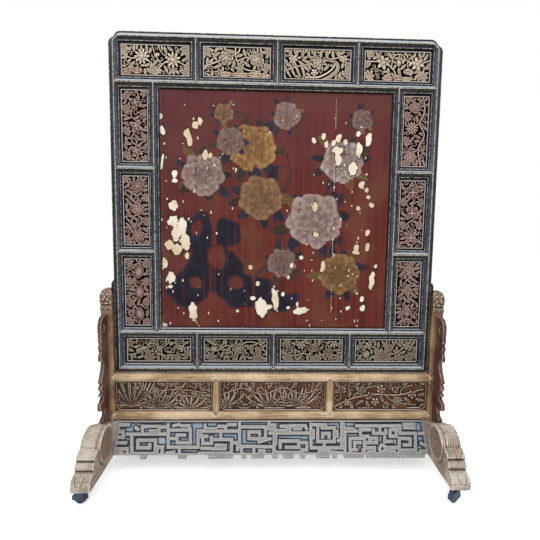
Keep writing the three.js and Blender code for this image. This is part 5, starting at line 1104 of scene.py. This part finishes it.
# Sloping aprons: a squared key fret standing before a recessed blue-grey ground, with a stepped lower edge
apronLook = {
    "step": 2.4,
    "strapWide": 14.5,
    "strapHigh": 7.5,
    "edgeLine": 14,
    "straps": (
        ((-666, 129), (-616, 129)), ((-666, 103), (-634, 103), (-629, 80), (-659, 80)), ((-659, 60), (-615, 60)),
        ((-652, 37), (-604, 37), (-601, 21)), ((-643, 15), (-645, 26), (-622, 21)), ((-614, 92), (-443, 92)),
        ((-596, 92), (-582, 19), (-486, 19), (-493, 69), (-566, 69), (-561, 41), (-512, 41), (-514, 52)),
        ((-551, 94), (-556, 123), (-485, 123), (-483, 105), (-520, 105)), ((-589, 121), (-568, 108)), ((-480, 120), (-452, 120)),
        ((-448, 129), (-436, 43), (-312, 42), (-318, 105)), ((-431, 108), (-351, 108), (-346, 59), (-401, 60), (-405, 89), (-373, 89)),
        ((-431, 75), (-412, 75)), ((-478, 12), (-483, 43), (-460, 43), (-458, 23)), ((-438, 20), (-411, 24)),
        ((-389, 34), (-386, 14), (-343, 14)), ((-424, 125), (-403, 129)), ((-390, 125), (-357, 125), (-356, 114)),
        ((-318, 104), (-143, 103)), ((-290, 127), (-289, 113), (-244, 113)), ((-232, 122), (-201, 122), (-201, 113)),
        ((-190, 129), (-161, 129)), ((-143, 133), (-139, 44), (-1, 43)),
        ((-129, 120), (-31, 119), (-30, 73), (-101, 74), (-102, 100), (-57, 100), (-56, 89)), ((-304, 92), (-303, 83), (-279, 83)),
        ((-295, 70), (-293, 56), (-258, 56), (-260, 79)), ((-245, 71), (-174, 71), (-172, 19), (-302, 19)),
        ((-237, 49), (-200, 48), (-199, 36), (-250, 36)), ((-222, 104), (-220, 83)), ((-167, 59), (-148, 59), (-147, 33)),
        ((-296, 38), (-264, 38)), ((-78, 2), (-79, 42)), ((-60, 12), (-36, 12), (-36, 27), (-55, 27)), ((-76, 2), (-38, 2)),
        ((-130, 33), (-130, 15), (-99, 14)), ((-16, 133), (-16, 113), (6, 113), (6, 128)), ((13, 102), (13, 54)), ((-11, 73), (-58, 61)),
        ((-1, 33), (27, 14)), ((-280, 9), (-169, 8)), ((-187, -4), (-233, -4)), ((-399, 5), (-316, 5)), ((-583, 11), (-482, 11)),
        ((-7, 111), (9, 111), (9, 126), (-12, 126)), ((23, 105), (60, 104), (61, 122), (37, 122)),
        ((74, 104), (75, 124), (140, 124), (149, 106)), ((93, 112), (121, 112)), ((-12, 95), (167, 95)), ((6, 95), (6, 21), (120, 20)),
        ((32, 40), (32, 65), (110, 64), (110, 40), (57, 40)), ((122, 58), (145, 58), (143, 30), (123, 30), (122, 17)),
        ((165, 130), (162, 46)), ((176, 128), (230, 128)), ((195, 128), (191, 62), (262, 62), (267, 115), (213, 115)),
        ((213, 79), (214, 93), (242, 93), (241, 79)), ((175, 104), (173, 77)), ((277, 100), (276, 83)), ((219, 62), (217, 41)),
        ((164, 38), (293, 38)), ((274, 62), (294, 73)), ((194, 1), (196, 23), (234, 23), (233, 9)), ((243, 21), (289, 18)),
        ((300, 134), (292, 41)), ((311, 102), (304, 22)), ((311, 102), (362, 102)), ((327, 39), (331, 73), (392, 73), (387, 30)),
        ((347, 45), (349, 57), (372, 57)), ((301, 6), (379, 6), (382, 28)), ((325, 16), (327, 31), (354, 30)),
        ((308, 130), (306, 112), (349, 111)), ((364, 123), (554, 123)), ((377, 89), (379, 107), (419, 107)),
        ((392, 82), (409, 82), (418, 63)), ((554, 123), (549, 93), (617, 92)), ((536, 28), (543, 73), (590, 72), (586, 48), (560, 48)),
        ((536, 27), (605, 27), (617, 92)), ((435, 106), (434, 93), (450, 93)), ((464, 112), (462, 93), (488, 93), (489, 105)),
        ((508, 105), (505, 82), (531, 82), (533, 99)), ((419, 74), (445, 74), (443, 57), (403, 57)), ((481, 78), (478, 61), (509, 61)),
        ((518, 108), (542, 108)), ((394, 38), (431, 38), (429, 22), (404, 22)), ((528, 38), (489, 38), (487, 22), (514, 22)),
        ((468, 51), (482, 34), (463, 16), (449, 34), (468, 51)), ((389, 14), (415, 4), (457, 6)), ((466, 6), (502, 3), (541, 13)),
        ((547, 8), (646, 8)), ((634, 92), (653, 92)), ((630, 56), (653, 44)), ((572, 129), (617, 129), (614, 114), (571, 114)),
        ((626, 23), (653, 23)),
    ),
    "drops": ((-545, -525, -2), (-389, -360, -3), (-265, -168, -4), (-127, -112, -4), (-86, -37, -4), (3, 17, -5), (0, 20, -5), (47, 86, -4), (119, 134, -4), (187, 237, -3), (255, 269, -3), (301, 383, -2), (397, 534, -1), (544, 640, 0)),
}


def apronPart(look, step, twin):
    wide, tall, lean = 1323.4, 147.4, (0.590, 0.807)
    sheet = blankSheet(wide, tall, step)
    u, v = sheet["u"], sheet["v"] + tall / 2
    strap = np.full(u.shape, 99.0)
    for line in look["straps"]:
        for (x0, y0), (x1, y1) in zip(line[:-1], line[1:]):
            square = abs(x1 - x0) > 3 * abs(y1 - y0) or abs(y1 - y0) > 3 * abs(x1 - x0)
            dx, dy = x1 - x0, y1 - y0
            long = math.hypot(dx, dy) + 1e-6
            s = ((u - x0) * dx + (v - y0) * dy) / long - long / 2
            t = (-(u - x0) * dy + (v - y0) * dx) / long
            half = look["strapWide"] / 2
            strap = np.minimum(strap, np.maximum(np.abs(s) - long / 2 - (half if square else 1), np.abs(t) - half))
    body = look["edgeLine"] - v
    for x0, x1, low in look["drops"]:
        middle, half = (x0 + x1) / 2, max((x1 - x0) / 2, 6)
        box = np.maximum(np.abs(u - middle) - half - 0.35 * np.clip(v, 0, 14), max(low, 0) + 0.5 - v)
        body = np.minimum(body, box)
        strap = np.minimum(strap, np.maximum(box + 1.0, v - look["edgeLine"] - 4))
    band = np.minimum(np.abs(v - look["edgeLine"] - 3.5) - 3.5, np.abs(v - 143) - 4)
    strap = np.minimum(strap, np.where(np.abs(u) > 648, np.abs(u) * 0 - 1, band))
    high = look["strapHigh"]
    wave = 0.5 * np.sin(u / 41) * np.cos(v / 19 + u / 87)
    sheet["far"] = np.maximum(body, np.abs(u) - wide / 2)
    sheet["rise"] = np.clip((high - 0.3 + wave * 0.6) * eased(1.2, -1.2, strap), 0, high)
    sheet["tone"] = eased(0.5, -1.5, strap)
    side = -1 if twin else 1
    place = lambda a, b, d: (side * a, side * (-107 + lean[0] * (b + tall / 2) - lean[1] * d), 67.7 + lean[1] * (b + tall / 2) + lean[0] * d)
    part = carvedPart(sheet, -high - 0.05, -13.9, place)
    half = len(part["points"]) // 2
    used = part["tone"][:half]
    # painted shade only on the recessed ground between the straps; the straps get at least a little painted highlight
    # and wear
    part["hollow"][:half] = np.clip(part["hollow"][:half], 0, 1) * (1 - used)
    part["wearHighlight"][:half] = np.where(used > 0.9, np.maximum(part["wearHighlight"][:half], 0.3), 0)
    return part


def buildAprons(look):
    for name, twin in (("front_apron", False), ("back_apron", True)):
        step = look["step"] * (1.5 if twin else 1) * 1
        piece = assembled(name + "_fret", [apronPart(look, step, twin)], [weatheredFret], 0.9)
        settled(piece, "stand", [name])
        print(name, len(piece.data.polygons), "faces")


buildAprons(apronLook)


# Low-relief panels of the stand: grass blades, rocks with scrolls, a flowering branch, each in a soft raised border
reliefLook = {
    "step": 2.0,
    "rim": 9,
    "corner": 20,
    "fields": {
        "left_relief_panel": {"seed": 3, "items": (
            ("blades", -0.72, -0.7, 17, 0.15, 2.2, 150, 330), ("blades", -0.1, -0.95, 9, 0.5, 2.3, 60, 150), ("blades", 0.55, -0.9, 8, 0.7, 2.6, 50, 120),
            ("stem", 4, ((-0.5, -0.6), (0.0, -0.05), (0.5, 0.0), (0.95, -0.3))), ("stem", 3.4, ((-0.6, -0.4), (-0.2, 0.3), (0.35, 0.45), (0.9, 0.2))),
            ("flower", "daisy", -0.2, 0.35, 15, 5, 0.4), ("flower", "round", 0.28, 0.5, 13, 5, 0.4), ("flower", "cross", 0.66, 0.1, 14, 4, 0.4),
            ("flower", "round", -0.6, 0.62, 11, 5, 0.4))},
        "centre_relief_panel": {"seed": 5, "items": (
            ("rock", (-0.56, -0.8, 70, 26), (-0.4, -0.6, 40, 26), (-0.66, -0.5, 34, 22), (0.02, -0.95, 90, 16), (0.6, -0.92, 70, 16)),
            ("blades", -0.05, -0.75, 9, 0.4, 2.4, 60, 130), ("blades", 0.45, -0.7, 9, 0.6, 2.4, 60, 120), ("blades", -0.9, -0.7, 6, 0.6, 2.0, 50, 100),
            ("curl", -0.26, 0.3, 20, 1.2, 0.4, 1), ("curl", 0.1, 0.45, 17, 1.2, 2.4, -1), ("curl", 0.4, 0.35, 19, 1.2, 0.9, 1), ("curl", -0.74, 0.35, 18, 1.2, 2.9, -1),
            ("curl", 0.8, 0.3, 17, 1.2, 0.2, 1), ("stem", 4, ((-0.98, 0.1), (-0.6, 0.55), (-0.2, 0.1), (0.2, 0.6), (0.55, 0.15), (0.95, 0.55))),
            ("flower", "melon", 0.2, -0.15, 16, 6, 0.4), ("flower", "daisy", -0.45, 0.5, 12, 5, 0.4), ("flower", "round", 0.62, -0.1, 14, 5, 0.4))},
        "right_relief_panel": {"seed": 9, "items": (
            ("stem", 6, ((-0.98, -0.8), (-0.6, -0.2), (-0.1, 0.1), (0.4, 0.05), (0.96, 0.5))), ("stem", 4, ((-0.6, -0.2), (-0.45, 0.4), (-0.1, 0.75))),
            ("stem", 4, ((0.1, 0.1), (0.35, -0.5), (0.8, -0.7))), ("stem", 3.4, ((0.45, 0.05), (0.5, 0.55), (0.7, 0.8))),
            ("flower", "rose", -0.42, 0.35, 19, 5, 0.4), ("flower", "round", 0.02, 0.5, 18, 5, 0.4), ("flower", "daisy", 0.4, -0.42, 19, 6, 0.4),
            ("flower", "round", 0.72, 0.1, 17, 5, 0.4), ("flower", "melon", -0.72, -0.5, 18, 6, 0.4), ("flower", "round", -0.1, -0.45, 16, 5, 0.4),
            ("span", -0.2, -0.1, 26, 2.4, 4, 0.4), ("span", 0.3, 0.35, 24, 0.8, 4, 0.4), ("span", 0.1, -0.7, 24, -0.3, 4, 0.4), ("span", -0.85, 0.3, 26, 1.2, 4, 0.4),
            ("rock", (0.78, -0.98, 70, 16), (-0.3, -1.02, 80, 14)))},
    },
}


def reliefPanel(node, design, look):
    low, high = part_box(node)
    centre = [(low[i] + high[i]) * 500 for i in range(3)]
    wide, tall = (high[0] - low[0]) * 1000, (high[2] - low[2]) * 1000
    sheet = blankSheet(wide, tall, look["step"] * (1))
    u, v = sheet["u"], sheet["v"]
    halfU, halfV = wide / 2 - look["rim"] - 5, tall / 2 - look["rim"] - 4
    sheet["far"] = np.full(u.shape, 60.0)
    dice = np.random.default_rng(design["seed"])
    plain = []
    for item in design["items"]:
        if item[0] != "blades":
            plain.append(item)
            continue
        kind, x, z, count, shortSide, spread, least, most = item
        for i in range(count):
            swing = math.pi / 2 + (i / (count - 1) - 0.5) * spread + dice.uniform(-0.08, 0.08)
            lean = math.cos(swing)
            length = min(least + (most - least) * abs(lean) ** 1.2 * dice.uniform(0.6, 1), 1.7 * halfV / max(math.sin(swing), 0.2))
            leafOn(sheet, (x * halfU, z * halfV), length, dice.uniform(5.5, 8), swing, -lean * length * 0.16 + dice.uniform(-3, 3), 1.2, 3.6, 0.5, 0.1)
    carve(sheet, halfU, halfV, plain)
    fillVoids(sheet, 9, 26, design["seed"] + 20, (0.2, 0.5, 0.7))
    inside = np.maximum(np.abs(u) - halfU, np.abs(v) - halfV)
    corner = look["corner"]
    round_ = np.hypot(np.clip(np.abs(u) - halfU + corner, 0, None), np.clip(np.abs(v) - halfV + corner, 0, None)) - corner
    inside = np.where(v < 0, np.maximum(inside, round_), inside)
    field = eased(0, -3, inside)
    border = np.exp(-((inside - 4.2) / 2.4) ** 2) * 3.4
    sheet["rise"] = np.clip(sheet["rise"], 0, 7) * 0.62 * field + border + 2.2 * eased(6, 11, inside) + 0.35 * np.cos(u / 3.1 + np.sin(v / 9)) * field * (sheet["rise"] < 0.1)
    sheet["tone"] = np.clip(sheet["tone"] * field + (sheet["far"] < 0) * 0.5 * field + (inside > 1) * 0.6, 0, 1)
    place = lambda a, b, d: (a + centre[0], -d, b + centre[2])
    part = carvedPart(sheet, 9.4, -5.9, place, False)
    half = u.size
    # painted shade in the hollows, strengthened
    part["hollow"][:half] = np.clip(part["hollow"][:half] * 1.3, 0, 1)
    piece = assembled(node + "_carving", [part], [reliefLacquer], 0.9)
    settled(piece, "stand", [node])
    return len(piece.data.polygons)


print("relief panels", sum(reliefPanel(node, design, reliefLook) for node, design in reliefLook["fields"].items()), "faces")


# A carved piece made from its own solid: an even skin of small faces, pushed in and out by a function of place and facing
def carvedFrom(node, suffix, material, cell, shape, soften=3, body="stand"):
    source = frame["nodes"][node]
    blank = bpy.data.objects.new("blank", source.data.copy())
    bpy.context.scene.collection.objects.link(blank)
    blank.data.transform(source.matrix_world)
    work = bmesh.new()
    work.from_mesh(blank.data)
    bmesh.ops.remove_doubles(work, verts=work.verts, dist=1e-5)
    work.to_mesh(blank.data)
    work.free()
    skin = blank.modifiers.new("skin", "REMESH")
    skin.mode = "VOXEL"
    skin.voxel_size = cell * 1 / 1000
    plain = bpy.data.meshes.new_from_object(blank.evaluated_get(bpy.context.evaluated_depsgraph_get()))
    blank.modifiers.remove(skin)
    bpy.data.objects.remove(blank)
    count = len(plain.vertices)
    points = np.empty(count * 3)
    plain.vertices.foreach_get("co", points)
    points = points.reshape(-1, 3) * 1000
    edges = np.empty(len(plain.edges) * 2, int)
    plain.edges.foreach_get("vertices", edges)
    a, b = edges.reshape(-1, 2).T
    around = np.bincount(a, minlength=count) + np.bincount(b, minlength=count)

    def neighbours(values):
        return np.stack([(np.bincount(a, values[:, k][b], count) + np.bincount(b, values[:, k][a], count)) / around for k in range(values.shape[1])], 1)

    for i in range(soften):
        points = 0.45 * points + 0.55 * neighbours(points)

    def facing():
        plain.vertices.foreach_set("co", (points / 1000).ravel())
        plain.update()
        normals = np.empty(count * 3)
        plain.vertices.foreach_get("normal", normals)
        return normals.reshape(-1, 3)

    normals = facing()
    push, tone, shade = shape(points, normals)
    points = points + normals * push[:, None]
    normals = facing()
    low, high = [np.array(corner) * 1000 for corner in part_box(node)]
    points = np.clip(points, low, high)
    bend = ((neighbours(points) - points) * normals).sum(1)
    for i in range(2):
        bend = 0.5 * bend + 0.5 * neighbours(bend[:, None])[:, 0]
    faces = [list(face.vertices) for face in plain.polygons]
    # convex places get painted highlight and rubbing; concave places and each shape's own marks get painted shade
    part = {"points": points, "faces": faces, "wearHighlight": np.clip(-bend / 0.26 - 0.06, 0, 1), "hollow": np.clip(bend / 0.3 + shade, 0, 1), "tone": tone}
    bpy.data.meshes.remove(plain)
    piece = assembled(node + suffix, [part], [material], 0)
    piece.data.polygons.foreach_set("use_smooth", [True] * len(faces))
    settled(piece, body, [node])
    return len(faces)


def groove(value, wide, deep):
    return -deep * np.exp(-(value / wide) ** 2)


# Feet: grooved drum treads, a carved disc on each face, ribbed rolls, a leaf line on each toe, worm-eaten grey grain
def footShape(sign):
    def shape(points, normals):
        x, y, z = points.T
        across = sign * x - 698
        ahead = np.abs(y)
        r, turn = np.hypot(ahead - 150, z - 160), np.arctan2(z - 160, ahead - 150)
        flank = eased(0.6, 0.85, np.abs(normals[:, 0]))
        tread = 1 - flank
        push = np.zeros(len(x))
        drum = eased(60, 66, r) * eased(78, 70, r) * (z > 118)
        ribbed = 1.0 if sign > 0 else 0.15  # the left foot is worn almost smooth
        for k in (-22, -13, -4, 5, 14, 23):
            push += groove(across - k, 1.5, 1.3) * drum * tread * ribbed * (0.7 + 0.3 * np.sin(turn * 9 + k))
        push += groove(across + 24, 3.2, 2.0) * drum * tread
        disc = flank * eased(60, 56, r)
        rim = np.exp(-((r - 71) / 3.4) ** 2) * flank * (z > 92)
        push += groove(r - 53, 2.0, 1.8 * ribbed) * disc
        push += (0.9 * np.cos(turn * 5 + r / 7) * eased(52, 44, r) + 0.8 * np.cos(r / 4.6) * eased(50, 40, r)) * disc * ribbed
        roll = (ahead > 208) * (ahead < 262) * (z > 118) * tread
        rib = (across * 0.9 + ahead * 0.35) / 9
        push += groove((rib - np.round(rib)) * 9, 1.3, 1.2) * roll * (z > 150) * ribbed
        notch = sum(np.exp(-((ahead - a) ** 2 + (z - b) ** 2) / c ** 2) for a, b, c in ((259, 119, 5), (249, 150, 5), (207, 183, 8)))
        push -= 3.2 * notch * tread
        toe = (ahead > 240) * (z < 118) * tread
        heart = np.abs(across - 6) - 15 * np.sqrt(np.clip(1 - ((z - 118) / 34) ** 2, 0, 1))
        push += groove(heart, 2.6, 2.2) * toe * (z > 88) * (z < 116)
        scallop = np.abs(np.sin((z - 62) / 9 + 0.5 * np.sin(across / 7)))
        push += -2.0 * (1 - scallop) ** 3 * toe * (z < 92) * (across < 12) * ribbed
        leaf = np.abs(z - 92 - 0.10 * (ahead - 210)) - 18
        push += groove(leaf, 1.6, 1.0) * flank * (ahead > 190) * (ahead < 292) * (z > 66) * (z < 118)
        push += 0.4 * np.sin(x / 9 + 2 * np.sin(y / 37)) * np.sin(z / 12 + y / 29) - 0.4
        bore = (np.hypot(across, ahead - 270) < 15) * (z < 100)  # room round each caster's stem and over its plate
        push = np.where(bore, -1.3, push)
        # the third value is painted shade in the notches and in a ring round each disc
        return push, disc * 0.9, np.clip(0.9 * notch * tread + 0.8 * rim, 0, 1)
    return shape


# Posts: a lion mask on top with brows, eyes, muzzle, curls down the sides and a beard under the open mouth
def postShape(sign):
    def shape(points, normals):
        x, y, z = points.T
        across = sign * x - 698
        head = eased(663, 672, z)
        push = np.zeros(len(x))
        curl = np.cos(across / 3.1 + 1.6 * np.sin(z / 6.5)) * np.cos(z / 4.2) * np.cos(y / 4.0)
        push += 1.2 * curl * head * eased(10, 22, np.abs(y) + (z > 735) * 14) - 0.6 * head
        front = head * eased(-8, -18, y)
        for side in (-1, 1):
            push += 2.6 * np.exp(-(((across - side * 10) / 5) ** 2 + ((z - 737) / 4.5) ** 2)) * front
            push += groove(np.hypot((across - side * 10) / 1.0, (z - 737) * 1.1) - 6, 1.3, 1.6) * front
            push += 1.8 * np.exp(-(((across - side * 7) / 7) ** 2 + ((z - 716) / 5) ** 2)) * front
            push += 1.5 * np.exp(-(((across - side * 12) / 8) ** 2 + ((z - 748) / 3) ** 2)) * front
        push += 2.2 * np.exp(-((across / 6) ** 2 + ((z - 725) / 5) ** 2)) * front
        push += groove(z - 706 + 0.05 * across ** 2 * 0.3, 3.2, 5) * front * (np.abs(across) < 19)
        push += groove(((across + z * 0.2) / 6 - np.round((across + z * 0.2) / 6)) * 6, 1.0, 1.3) * front * (z < 699) * (z > 676)
        push += groove(z - 668, 2, 1.6) * (z > 660)
        front0 = front
        front = eased(-24, -28, y) * (z < 655)
        push += groove(np.abs(across) - 19, 1.4, 1.0) * front
        push += 0.25 * np.sin(x / 2.1 + np.sin(z / 60)) * (z < 660) - 0.25
        # the third value is painted shade in the open mouth and between the mane's curls
        mouth = np.exp(-((z - 706) / 3.5) ** 2) * front0 * (np.abs(across) < 18)
        return push, head, np.clip(mouth + 0.6 * head * (curl < -0.3) * eased(10, 22, np.abs(y)), 0, 1)
    return shape


# Brackets: stepped scallops along the outer edge with a line cut inside it, and one small round eye
def bracketShape(sign, way):
    def shape(points, normals):
        x, y, z = points.T
        out = way * y
        face = eased(0.5, 0.8, np.abs(normals[:, 0]))
        outer = 1 - face
        wave = z / 44 + 0.3 * np.sin(z / 61)
        push = groove((wave - np.round(wave)) * 44, 4.0, 2.2) * outer * (out > 36)
        push += groove((z / 41 + out / 60 - np.round(z / 41 + out / 60)) * 41, 2.4, 1.5) * face * (out > 42)
        push += groove(out - 39, 1.6, 1.2) * face
        push += 0.5 * np.cos(z / 5.5 + out / 4) * face * (out > 44) - 0.5
        return push, 0 * x, 0 * x
    return shape


# Rails: hand-rubbed rounds with shallow dents and a few long drying cracks
def railShape(points, normals):
    x, y, z = points.T
    push = 0.5 * np.sin(x / 73 + z / 19) * np.sin(x / 31) + 0.25 * np.sin(x / 11 + y / 5) - 0.7
    push += groove((z - 207 - 6 * np.sin(x / 210)), 0.9, 0.9) * (y < 0) * (np.sin(x / 90) > 0.2)
    # the third value is painted shade on faces turned down
    return push, 0.5 + 0.5 * np.sin(x / 130), 0.5 * eased(-0.55, -0.95, normals[:, 2])


# Casters: cast hoods and moulded wheels, a little softened by the mould
def casterShape(points, normals):
    x, y, z = points.T
    return 0.12 * np.sin(x / 3 + z / 4) - 0.12, 0 * x, 0 * x


def buildStand():
    faces = 0
    for corner in ("front_left", "front_right", "back_left", "back_right"):
        faces += carvedFrom(f"{corner}_caster_fork", "_cast", casterSteel, 1.1, casterShape, 2, f"{corner}_caster")
        faces += carvedFrom(f"{corner}_caster_wheel", "_moulded", wheelRubber, 1.1, casterShape, 2, f"{corner}_wheel")
    for side, sign in (("left", -1), ("right", 1)):
        faces += carvedFrom(f"{side}_foot", "_carving", weatheredFoot, 2.5, footShape(sign), 3)
        faces += carvedFrom(f"{side}_post", "_carving", varnishedPost, 2.1, postShape(sign), 2)
        for face, way in (("front", -1), ("back", 1)):
            faces += carvedFrom(f"{side}_{face}_bracket", "_carving", bracketLacquer, 2.4, bracketShape(sign, way), 2)
    for level in ("upper", "lower"):
        faces += carvedFrom(f"{level}_stand_rail", "_rubbed", rubbedRail, 3.4, railShape, 4)
    print("stand", faces, "faces")


buildStand()
